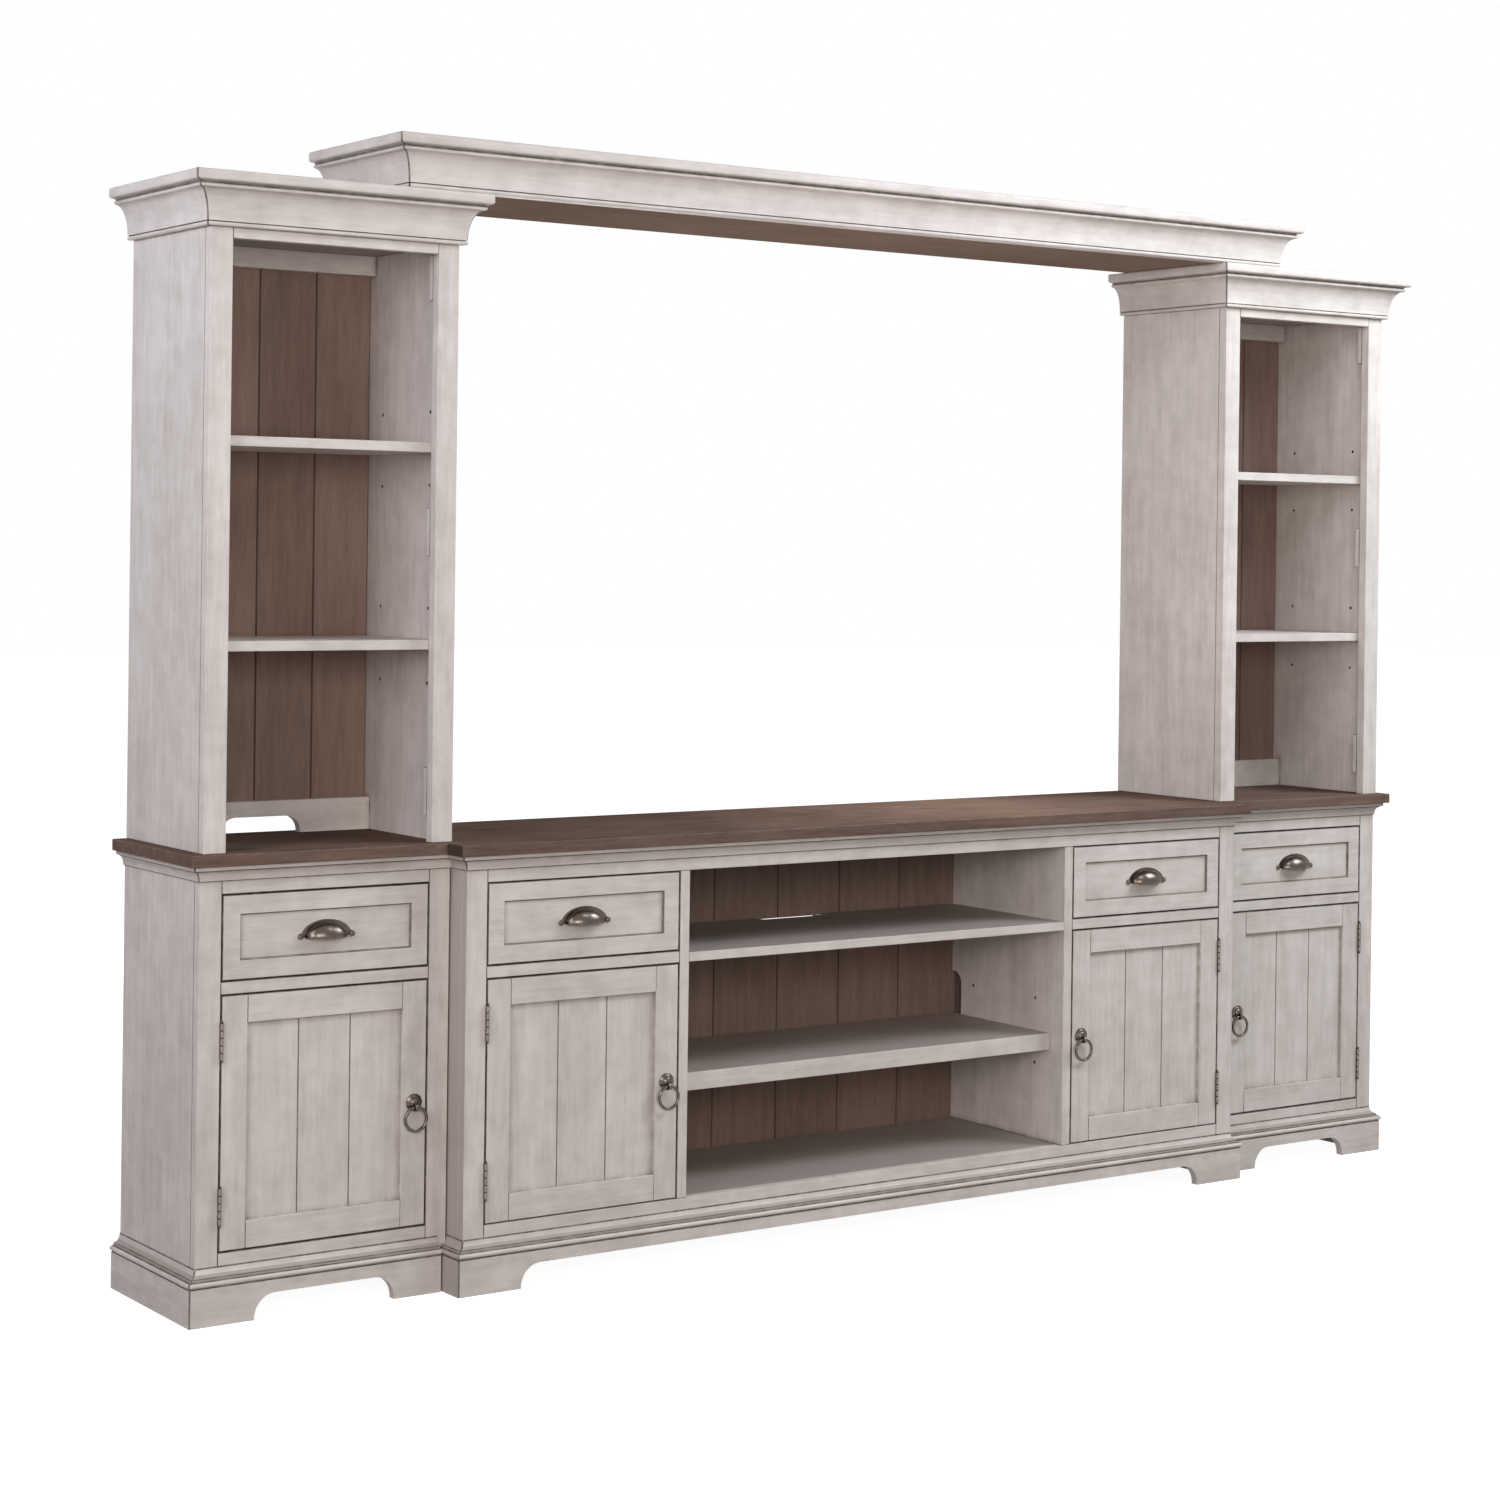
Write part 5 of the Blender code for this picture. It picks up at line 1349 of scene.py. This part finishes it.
class WALL_UNIT_OT_hutches(Operator):
    """Sides, back rails, face frames and shelves of the two hutches."""

    bl_idname = "wall_unit.hutches"
    bl_label = "Hutches"

    def execute(self, context):
        for hutch in ("left_hutch", "right_hutch"):
            self.case(hutch)
            self.face_frame(hutch)
            for shelf in ("upper", "lower"):
                board = boards(f"{hutch}_{shelf}_board", [box_of(f"{hutch}_{shelf}_shelf")])
                hand_over(board, f"{hutch}_{shelf}_shelf")
        return {"FINISHED"}

    def case(self, hutch):
        low, high = box_of(hutch + "_case")
        planks = box_of(hutch + "_back_panel")
        rail = (planks[0].y - SEAT - 0.019, planks[0].y - SEAT)
        room = (low.x + BOARD, high.x - BOARD)
        parts = []
        for x, face in (((low.x, room[0]), room[0]), ((room[1], high.x), room[1])):
            wall = boards(hutch + "_side", [block(x, (low.y, high.y), (low.z, high.z))])
            glaze_front(wall, low.y)
            places = [(face, y, z) for y in (-0.06175, 0.12225) for z in (1.594, 1.460, 1.235, 1.098)]
            parts.append(drill(wall, places, context_holes(), 0.008))
        top_rail = boards("top_rail", [block(room, rail, (high.z - 0.037, high.z))])
        bottom_rail = boards("bottom_rail", [block(room, rail, (low.z, low.z + 0.061))])
        middle, half, tall, curve = (low.x + high.x) / 2, 0.080, 0.032, 0.029
        left = arc((middle - half + curve, low.z + tall - curve), (curve, curve), 180, 90, 8)
        right = arc((middle + half - curve, low.z + tall - curve), (curve, curve), 90, 0, 8)
        below = low.z - 0.02
        outline = [(middle - half, below), *left, *right, (middle + half, below)]
        cut_away(bottom_rail, [outline_cutter(outline, 1, rail[0] - 0.02, rail[1] + 0.02)])
        hand_over(join(hutch + "_carcase", [*parts, top_rail, bottom_rail]), hutch + "_case")

    def face_frame(self, hutch):
        low, high = box_of(hutch + "_face_frame")
        y = (low.y, high.y)
        stile, rail = 0.042, 0.018
        spans = [block((low.x, low.x + stile), y, (low.z, high.z))]
        spans.append(block((high.x - stile, high.x), y, (low.z, high.z)))
        spans.append(block((low.x + stile, high.x - stile), y, (high.z - rail, high.z)))
        fillet = (high.x - stile, box_of(hutch + "_case")[1].x - BOARD)
        for z in HINGE_BLOCKS:
            spans.append(block(fillet, (high.y, high.y + HINGE_BLOCK_DEPTH), z))
        joinery = boards(hutch + "_stiles_and_rail", spans)
        for face in joinery.data.polygons:
            if face.material_index == EDGE and face.center.y > high.y + 0.0015:
                face.material_index = JOINT_AND_SHADE
        hand_over(joinery, hutch + "_face_frame")


class WALL_UNIT_OT_cornices(Operator):
    """Crowns of the hutches and the bridge between them."""

    bl_idname = "wall_unit.cornices"
    bl_label = "Crowns and Bridge"

    def execute(self, context):
        for node in ("left_hutch_crown", "right_hutch_crown", "bridge_cornice"):
            low, high = box_of(node)
            project, wall = 0.048, 0.019
            x = (low.x + project, high.x - project)
            front = low.y + project
            bridge = node == "bridge_cornice"
            slots = (*PAINT, "soffit")
            ring = moulded(node + "_moulding", x, (front, high.y), crown_profile(low.z), slots=slots)
            room_x = (x[0] + wall, x[1] - wall)
            past = 0.05
            room = cutter((room_x[0], front + wall, low.z - past), (room_x[1], high.y + past, high.z + past))
            cut_away(ring, [room])
            soften(ring, 24)
            y = (front + wall, high.y)
            spans = [block(room_x, y, (low.z, low.z + 0.012))]
            if bridge:
                spans.append(block(room_x, (high.y - wall, high.y), (low.z + 0.012, high.z)))
            else:
                spans.append(block(room_x, y, (high.z - 0.015, high.z)))
            inside = boards(node + "_boards", spans, slots)
            # Under the bridge the boards take the stained soffit; under a hutch crown they take darker paint as painted
            # shade
            finish = len(PAINT) if bridge else SHADOWED
            repaint(inside, finish, lambda c, n: n.z < -0.5 and c.z < low.z + 0.004)
            hand_over(join(node + "_cornice", [ring, inside]), node)
        return {"FINISHED"}


class WALL_UNIT_OT_doors(Operator):
    """Framed doors with a panel of three boards."""

    bl_idname = "wall_unit.doors"
    bl_label = "Doors"

    def execute(self, context):
        groove = context.scene.wall_unit_joinery.door_groove
        for bay in BAYS:
            low, high = box_of(bay + "_door")
            y = (low.y, high.y)
            field_x = (low.x + PANEL_FRAME, high.x - PANEL_FRAME)
            field_z = (low.z + PANEL_FRAME, high.z - PANEL_FRAME)
            spans = [block((low.x, field_x[0]), y, (low.z, high.z))]
            spans.append(block((field_x[1], high.x), y, (low.z, high.z)))
            spans.append(block(field_x, y, (low.z, field_z[0])))
            spans.append(block(field_x, y, (field_z[1], high.z)))
            leaf = boards(bay + "_door_frame", spans)
            shade_outline(leaf, low, high)
            pitch = (field_x[1] - field_x[0]) / 3
            parts = [leaf]
            panel = (low.y + PANEL_RECESS, high.y - PANEL_REAR_RECESS)
            lap = 0.0001
            for k in range(3):
                x = (field_x[0] + k * pitch - lap, field_x[0] + (k + 1) * pitch + lap)
                tidy_selection()
                add_cube((x[0], panel[0], field_z[0]), (x[1], panel[1], field_z[1]))
                plank = begin("panel_board", PAINT)
                edit(plank)
                bpy.ops.mesh.select_all(action="SELECT")
                plank.active_material_index = UPRIGHT
                bpy.ops.object.material_slot_assign()

                def at_groove(p, q):
                    inner = field_x[0] + groove < p.x < field_x[1] - groove
                    return inner and abs(p.z - q.z) > 0.1 and p.y < panel[0] + lap

                select_edges(plank, at_groove)
                ease_edges(groove, 2, SOFT)
                tidy_selection()
                parts.append(plank)
            hand_over(join(bay + "_panelled_door", parts), bay + "_door", bay + "_door")
        return {"FINISHED"}


class WALL_UNIT_OT_drawers(Operator):
    """Drawer fronts with a sunk field, and the drawer boxes."""

    bl_idname = "wall_unit.drawers"
    bl_label = "Drawers"

    def execute(self, context):
        ease = context.scene.wall_unit_joinery.ease
        for bay in BAYS:
            low, high = box_of(bay + "_drawer_front")
            tidy_selection()
            add_cube(low, high)
            front = begin(bay + "_sunk_front", PAINT)
            edit(front)
            bpy.ops.mesh.select_all(action="SELECT")
            front.active_material_index = LEVEL
            bpy.ops.object.material_slot_assign()
            select_faces(front, lambda c, n: n.y < -0.9)
            bpy.ops.mesh.inset(thickness=DRAWER_FIELD, depth=0)
            for thick, deep in ((0.0013, -0.0042), (0.0017, -0.0006)):
                bpy.ops.mesh.inset(thickness=thick, depth=deep)
            field = (low.x + 0.02, high.x - 0.02, low.z + 0.02, high.z - 0.02)

            def outside(point):
                return not (field[0] < point.x < field[1] and field[2] < point.z < field[3])

            select_edges(front, lambda p, q: outside(p) and outside(q) and along_axis(p, q))
            ease_edges(ease)
            tidy_selection()
            for face in front.data.polygons:
                sunk = 0.0002 < face.center.y - low.y < 0.0047
                if sunk and not outside(face.center):
                    face.material_index = SOFT
            shade_outline(front, low, high)
            hand_over(front, bay + "_drawer_front", bay + "_drawer")
            self.drawer_box(bay)
        return {"FINISHED"}

    def drawer_box(self, bay):
        low, high = box_of(bay + "_drawer_box")
        side, floor = 0.012, (low.z + 0.010, low.z + 0.016)
        z = (low.z, high.z)
        spans = [block((low.x, low.x + side), (low.y, high.y), z)]
        spans.append(block((high.x - side, high.x), (low.y, high.y), z))
        inner = (low.x + side, high.x - side)
        spans.append(block(inner, (low.y, low.y + side), z))
        spans.append(block(inner, (high.y - side, high.y), z))
        spans.append(block(inner, (low.y + side, high.y - side), floor))
        box = boards(bay + "_drawer_boards", spans, RAW)
        hand_over(box, bay + "_drawer_box", bay + "_drawer")


class WALL_UNIT_OT_cup_pulls(Operator):
    """Cup pulls: a hollow half dome with a flange and two screw ears."""

    bl_idname = "wall_unit.cup_pulls"
    bl_label = "Cup Pulls"

    def execute(self, context):
        sizes = context.scene.wall_unit_hardware
        low, high = box_of(BAYS[0] + "_cup_pull")
        middle = (low.x + high.x) / 2
        face, base = high.y, low.z + 0.0027
        flange = sizes.cup_flange
        rim = 0.049 + flange / 2
        radii = (rim - sizes.cup_shoulder, 0.025, high.z - base - flange)
        tidy_selection()
        bpy.ops.mesh.primitive_uv_sphere_add(segments=48, ring_count=24, radius=1, location=(middle, face, base))
        bpy.context.active_object.scale = radii
        dome = begin("cup_dome", METAL)
        edit(dome)
        for normal in ((0, 0, 1), (0, -1, 0)):
            bpy.ops.mesh.select_all(action="SELECT")
            bpy.ops.mesh.bisect(plane_co=(middle, face, base), plane_no=normal, clear_inner=True)
        select_edges(dome, lambda p, q: p.y > face - 1e-5 and q.y > face - 1e-5)
        bpy.ops.mesh.extrude_region_move(TRANSFORM_OT_translate={"value": (0, 0, 0)})
        grow = (rim / radii[0], 1, (radii[2] + flange) / radii[2])
        bpy.ops.transform.resize(value=grow, center_override=(middle, face, base))
        select_edges(dome, lambda p, q: p.z < base + 1e-5 and q.z < base + 1e-5 and p.y < face - 1e-5)
        bpy.ops.mesh.extrude_region_move(TRANSFORM_OT_translate={"value": (0, 0.0006, -0.0012)})
        bpy.ops.mesh.select_all(action="SELECT")
        bpy.ops.mesh.normals_make_consistent(inside=False)
        tidy_selection()
        self.thicken(dome, sizes.cup_wall)
        parts = [soften(dome, 50)]
        for side in (-1, 1):
            ear = (middle + side * 0.0505, face, base + 0.0026)
            shape = [(0.0054, 0), (0.0056, 0.0010), (0.0050, 0.0026), (0.0040, 0.0032)]
            parts.append(turned("ear", shape, 24, ear, (0, -1, 0)))
            screw = [(0.0030, 0.0030), (0.0030, 0.0038), (0.0022, 0.0046), (0.0008, 0.0050)]
            parts.append(turned("screw", screw, 18, ear, (0, -1, 0), slot=1))
        pull = join(BAYS[0] + "_cup", parts)
        for bay in BAYS[1:]:
            offset = box_of(bay + "_cup_pull")[0] - low
            hand_over(copy_to(pull, bay + "_cup", offset), bay + "_cup_pull", bay + "_drawer")
        hand_over(pull, BAYS[0] + "_cup_pull", BAYS[0] + "_drawer")
        return {"FINISHED"}

    def thicken(self, obj, wall):
        obj.select_set(True)
        bpy.context.view_layer.objects.active = obj
        change = obj.modifiers.new("wall", "SOLIDIFY")
        change.thickness = wall
        change.offset = -1
        bpy.ops.object.modifier_apply(modifier=change.name)


class WALL_UNIT_OT_ring_pulls(Operator):
    """Ring pulls: a stepped rosette with a boss and an eye, and the ring that hangs in it."""

    bl_idname = "wall_unit.ring_pulls"
    bl_label = "Ring Pulls"

    def execute(self, context):
        wire = context.scene.wall_unit_hardware.ring_wire
        low, high = box_of(BAYS[0] + "_ring_rosette")
        face = high.y
        middle = ((low.x + high.x) / 2, face, (low.z + high.z) / 2)
        ring_low, ring_high = box_of(BAYS[0] + "_ring")
        eye_y = (ring_low.y + ring_high.y) / 2
        eye_z = ring_high.z - wire / 2
        centre = Vector((middle[0], face, high.z - 0.016))
        plate = [(0.0155, 0), (0.0160, 0.0006), (0.0160, 0.0014), (0.0148, 0.0022), (0.0128, 0.0024)]
        plate += [(0.0118, 0.0034), (0.0104, 0.0040), (0.0094, 0.0040), (0.0088, 0.0052)]
        plate += [(0.0074, 0.0066), (0.0056, 0.0076), (0.0034, 0.0083), (0.0010, 0.0086)]
        rosette = turned("rosette", plate, 40, centre, (0, -1, 0))
        eye = (centre.x, eye_y, eye_z)
        lug_shape = [(0.0062, -0.0036), (0.0070, -0.0028), (0.0070, 0.0028), (0.0062, 0.0036)]
        lug = turned("lug", lug_shape, 28, eye, (1, 0, 0))
        neck_low = (centre.x - 0.0036, eye_y, eye_z)
        tidy_selection()
        add_cube(neck_low, (centre.x + 0.0036, face - 0.0030, eye_z + 0.0070))
        neck = begin("neck", METAL)
        edit(neck)
        bpy.ops.mesh.select_all(action="SELECT")
        ease_edges(0.0012, 2, 0)
        tidy_selection()
        bore = [(0.0036, -0.01), (0.0032, 0.0), (0.0036, 0.01)]
        tools = [turned("bore", bore, 24, eye, (1, 0, 0))]
        cut_away(lug, tools)
        cut_away(neck, [turned("bore", bore, 24, eye, (1, 0, 0))])
        pull = join(BAYS[0] + "_rosette_and_eye", [rosette, lug, neck])
        ring = self.ring(wire, Vector((eye[0], eye[1], (ring_low.z + ring_high.z) / 2)))
        for bay in BAYS[1:]:
            offset = box_of(bay + "_ring_rosette")[0] - low
            hand_over(copy_to(pull, bay + "_rosette_and_eye", offset), bay + "_ring_rosette", bay + "_door")
            offset = box_of(bay + "_ring")[0] - ring_low
            hand_over(copy_to(ring, bay + "_pull_ring", offset), bay + "_ring", bay + "_ring")
        hand_over(pull, BAYS[0] + "_ring_rosette", BAYS[0] + "_door")
        hand_over(ring, BAYS[0] + "_ring", BAYS[0] + "_ring")
        return {"FINISHED"}

    def ring(self, wire, centre):
        """A ring that is a little thicker at its foot."""
        low, high = box_of(BAYS[0] + "_ring")
        major = (high.x - low.x - wire) / 2
        tidy_selection()
        bpy.ops.mesh.primitive_torus_add(
            major_segments=64,
            minor_segments=14,
            major_radius=major,
            minor_radius=wire / 2 * 1.2,
            location=centre,
            rotation=(math.pi / 2, 0, 0),
        )
        ring = begin(BAYS[0] + "_pull_ring", METAL)
        edit(ring)
        for share in (0.2, 0.5, 0.8):
            select_faces(ring, lambda c, n: c.z < centre.z - share * major)
            bpy.ops.transform.resize(value=(1, 1.04, 1), center_override=tuple(centre))
        tidy_selection()
        return soften(ring, 60)


class WALL_UNIT_OT_hinges(Operator):
    """Butt hinges with a knuckled barrel, ball tips and the leaf on the stile."""

    bl_idname = "wall_unit.hinges"
    bl_label = "Hinges"

    def execute(self, context):
        count = context.scene.wall_unit_hardware.knuckles
        for bay in BAYS:
            outward = -1 if "left" in bay else 1
            first = None
            for label in ("_upper_hinge", "_lower_hinge"):
                node = bay + label
                low, high = box_of(node)
                if first is None:
                    first = self.hinge(node, low, high, outward, count)
                    first_low = low
                    hinge = first
                else:
                    hinge = copy_to(first, node + "_knuckles", low - first_low)
                hand_over(hinge, node)
        return {"FINISHED"}

    def hinge(self, node, low, high, outward, count):
        barrel = 0.0034
        axis_y = low.y + 0.0035
        x = high.x - 0.0035 if outward < 0 else low.x + 0.0035
        middle = (low.z + high.z) / 2
        half = 0.0325
        step = 2 * half / count
        shape = [(0.0006, -half - 0.0046), (0.0018, -half - 0.0042), (0.0026, -half - 0.0028)]
        shape += [(0.0022, -half - 0.0012), (0.0016, -half - 0.0004), (0.0030, -half)]
        for k in range(count):
            a = -half + k * step
            shape += [(barrel, a + 0.0010), (barrel, a + step - 0.0010), (0.0023, a + step)]
        shape += [(0.0016, half + 0.0004), (0.0022, half + 0.0012), (0.0026, half + 0.0028)]
        shape += [(0.0018, half + 0.0042), (0.0006, half + 0.0046)]
        round_part = turned("barrel", shape, 20, (x, axis_y, middle), (0, 0, 1), HINGE_METAL)
        for face in round_part.data.polygons:
            narrow = math.hypot(face.center.x - x, face.center.y - axis_y) < 0.93 * barrel
            if narrow or abs(face.center.z - middle) > half + 0.0002:
                face.material_index = 1
        stile = low.x if outward < 0 else high.x
        leaf_x = sorted((stile, stile - outward * 0.0011))
        tidy_selection()
        add_cube((leaf_x[0], axis_y, middle - half), (leaf_x[1], high.y, middle + half))
        leaf = begin("leaf", HINGE_METAL)
        edit(leaf)
        bpy.ops.mesh.select_all(action="SELECT")
        ease_edges(0.0003, 1, 0)
        tidy_selection()
        return join(node + "_knuckles", [round_part, leaf])


class WALL_UNIT_OT_stage(Operator):
    """Floor, surroundings, lamps and camera."""

    bl_idname = "wall_unit.stage"
    bl_label = "Stage"

    def execute(self, context):
        settings = context.scene.wall_unit_stage
        context.scene.view_settings.view_transform = "Standard"
        self.floor()
        self.surroundings(settings.sky)
        cool, blue, warm = (0.86, 0.955, 1.0), (0.78, 0.88, 1.0), (0.985, 1.0, 0.95)
        self.lamp("key_lamp", (2.5, -1.9, 3.1), (1.0, 0.0, 1.9), (1.6, 1.6), settings.key, cool)
        self.lamp("front_lamp", (-2.4, -4.6, 1.7), (0.2, 0.0, 1.0), (2.6, 1.4), settings.front, warm)
        self.lamp("side_lamp", (-5.5, -3.0, 2.0), (0.0, 0.0, 1.2), (2.0, 2.0), settings.side, (1.0, 0.96, 1.0))
        self.lamp("middle_lamp", (0.1, -1.7, 2.9), (1.2, 0.0, 1.9), (1.0, 1.0), settings.middle, blue)
        self.lamp("rim_lamp", (-3.0, -0.6, 2.2), (-1.4, 0.0, 1.5), (1.2, 1.2), settings.rim, blue)
        self.lamp("up_lamp", (0.0, -0.22, 0.86), (0.1, -0.1, 2.0), (1.3, 0.2), settings.low, (1.0, 0.97, 0.94))
        top_lamp = self.lamp("top_lamp", (0.3, 0.0, 1.9), (0.32, 0.0, 0.8), (0.8, 0.2), settings.top, (1.0, 0.97, 0.94))
        top_lamp.data.spread = math.radians(70)
        self.lamp("back_lamp", (1.2, 4.6, 1.7), (0.0, 0.0, 1.0), (2.6, 1.6), settings.back, (1.0, 1.0, 1.0))
        self.camera(settings)
        return {"FINISHED"}

    def floor(self):
        tidy_selection()
        bpy.ops.mesh.primitive_plane_add(size=60, location=(0, 0, 0))
        floor = begin("floor", ())
        made = bpy.data.materials.new("pale_floor")
        made.use_nodes = True
        tree = made.node_tree
        tree.nodes.clear()
        path = add_node(tree, "ShaderNodeLightPath")
        seen = calc(tree, "MAXIMUM", path.outputs["Is Camera Ray"], path.outputs["Is Glossy Ray"])
        bounce, pale = (0.22, 0.20, 0.18, 1), (0.82, 0.82, 0.82, 1)
        matt = add_node(tree, "ShaderNodeBsdfDiffuse", {"Color": mixed(tree, seen, bounce, pale)})
        place = add_node(tree, "ShaderNodeTexCoord").outputs["Object"]
        reach = add_node(tree, "ShaderNodeVectorMath", {0: place}, operation="LENGTH").outputs["Value"]
        far = add_node(tree, "ShaderNodeMapRange", {"Value": reach, 1: 1.2, 2: 4.5, 3: 1.86, 4: 2.1})
        white = add_node(tree, "ShaderNodeEmission", {"Color": (1, 1, 1, 1), "Strength": far.outputs[0]})
        share = calc(tree, "MULTIPLY", seen, 0.5)
        mix = add_node(tree, "ShaderNodeMixShader", {0: share, 1: matt.outputs[0], 2: white.outputs[0]})
        add_node(tree, "ShaderNodeOutputMaterial", {"Surface": mix.outputs[0]})
        floor.data.materials.append(made)

    def surroundings(self, strength):
        world = bpy.data.worlds.new("surroundings")
        bpy.context.scene.world = world
        world.use_nodes = True
        tree = world.node_tree
        tree.nodes.clear()
        even = add_node(tree, "ShaderNodeBackground", {"Color": (1, 0.98, 0.96, 1), "Strength": strength})
        white = add_node(tree, "ShaderNodeBackground", {"Color": (1, 1, 1, 1), "Strength": 1.0})
        path = add_node(tree, "ShaderNodeLightPath")
        seen = calc(tree, "MAXIMUM", path.outputs["Is Camera Ray"], path.outputs["Is Glossy Ray"])
        seen = calc(tree, "MAXIMUM", seen, path.outputs["Is Transmission Ray"])
        mix = add_node(tree, "ShaderNodeMixShader", {0: seen, 1: even.outputs[0], 2: white.outputs[0]})
        add_node(tree, "ShaderNodeOutputWorld", {"Surface": mix.outputs[0]})

    def lamp(self, name, place, target, size, power, colour):
        tidy_selection()
        bpy.ops.object.light_add(type="AREA", location=place)
        lamp = bpy.context.active_object
        lamp.name = name
        lamp.data.shape = "RECTANGLE"
        lamp.data.size, lamp.data.size_y = size
        lamp.data.energy = power
        lamp.data.color = colour
        lamp.visible_camera = False
        aim = Vector(target) - Vector(place)
        lamp.rotation_euler = aim.to_track_quat("-Z", "Y").to_euler()
        return lamp

    def camera(self, settings):
        yaw, pitch, roll = 0.6094, -0.001, 0.0126
        ahead = Vector((math.sin(yaw) * math.cos(pitch), math.cos(yaw) * math.cos(pitch), math.sin(pitch)))
        right = Vector((math.cos(yaw), -math.sin(yaw), 0))
        up = right.cross(ahead)
        side = math.cos(roll) * right + math.sin(roll) * up
        top = -math.sin(roll) * right + math.cos(roll) * up
        tidy_selection()
        bpy.ops.object.camera_add(location=(-3.5636, -4.79585, 1.3417))
        camera = bpy.context.active_object
        camera.name = "camera"
        turn = Matrix((side, top, -ahead)).transposed()
        camera.rotation_euler = turn.to_euler()
        camera.data.sensor_width = 36
        camera.data.lens = settings.lens
        camera.data.shift_y = settings.shift
        camera.data.clip_end = 100
        bpy.context.scene.camera = camera


SETTINGS = {
    "wall_unit_colours": WallUnitColours,
    "wall_unit_joinery": WallUnitJoinery,
    "wall_unit_hardware": WallUnitHardware,
    "wall_unit_stage": WallUnitStage,
}
STEPS = (
    WALL_UNIT_OT_finishes,
    WALL_UNIT_OT_face_frames,
    WALL_UNIT_OT_plinths,
    WALL_UNIT_OT_cases,
    WALL_UNIT_OT_tops,
    WALL_UNIT_OT_backs,
    WALL_UNIT_OT_console_shelves,
    WALL_UNIT_OT_hutches,
    WALL_UNIT_OT_cornices,
    WALL_UNIT_OT_doors,
    WALL_UNIT_OT_drawers,
    WALL_UNIT_OT_cup_pulls,
    WALL_UNIT_OT_ring_pulls,
    WALL_UNIT_OT_hinges,
    WALL_UNIT_OT_stage,
)


class VIEW3D_PT_wall_unit(Panel):
    """Lists the steps and settings of the wall unit."""

    bl_idname = "VIEW3D_PT_wall_unit"
    bl_label = "Wall Unit"
    bl_space_type = "VIEW_3D"
    bl_region_type = "UI"
    bl_category = "Wall Unit"

    def draw(self, context):
        for key, kind in SETTINGS.items():
            box = self.layout.box()
            for name in kind.__annotations__:
                box.prop(getattr(context.scene, key), name)
        column = self.layout.column()
        for step in STEPS:
            column.operator(step.bl_idname)


def register():
    for kind in (*SETTINGS.values(), *STEPS, VIEW3D_PT_wall_unit):
        bpy.utils.register_class(kind)
    for key, kind in SETTINGS.items():
        setattr(bpy.types.Scene, key, PointerProperty(type=kind))


def unregister():
    for key in SETTINGS:
        delattr(bpy.types.Scene, key)
    for kind in reversed((*SETTINGS.values(), *STEPS, VIEW3D_PT_wall_unit)):
        bpy.utils.unregister_class(kind)


def main():
    register()
    tidy_selection()
    for step in STEPS:
        area, name = step.bl_idname.split(".")
        if getattr(getattr(bpy.ops, area), name)() != {"FINISHED"}:
            raise RuntimeError(step.bl_label + " didn't finish")
    tidy_selection()


if __name__ == "__main__":
    main()
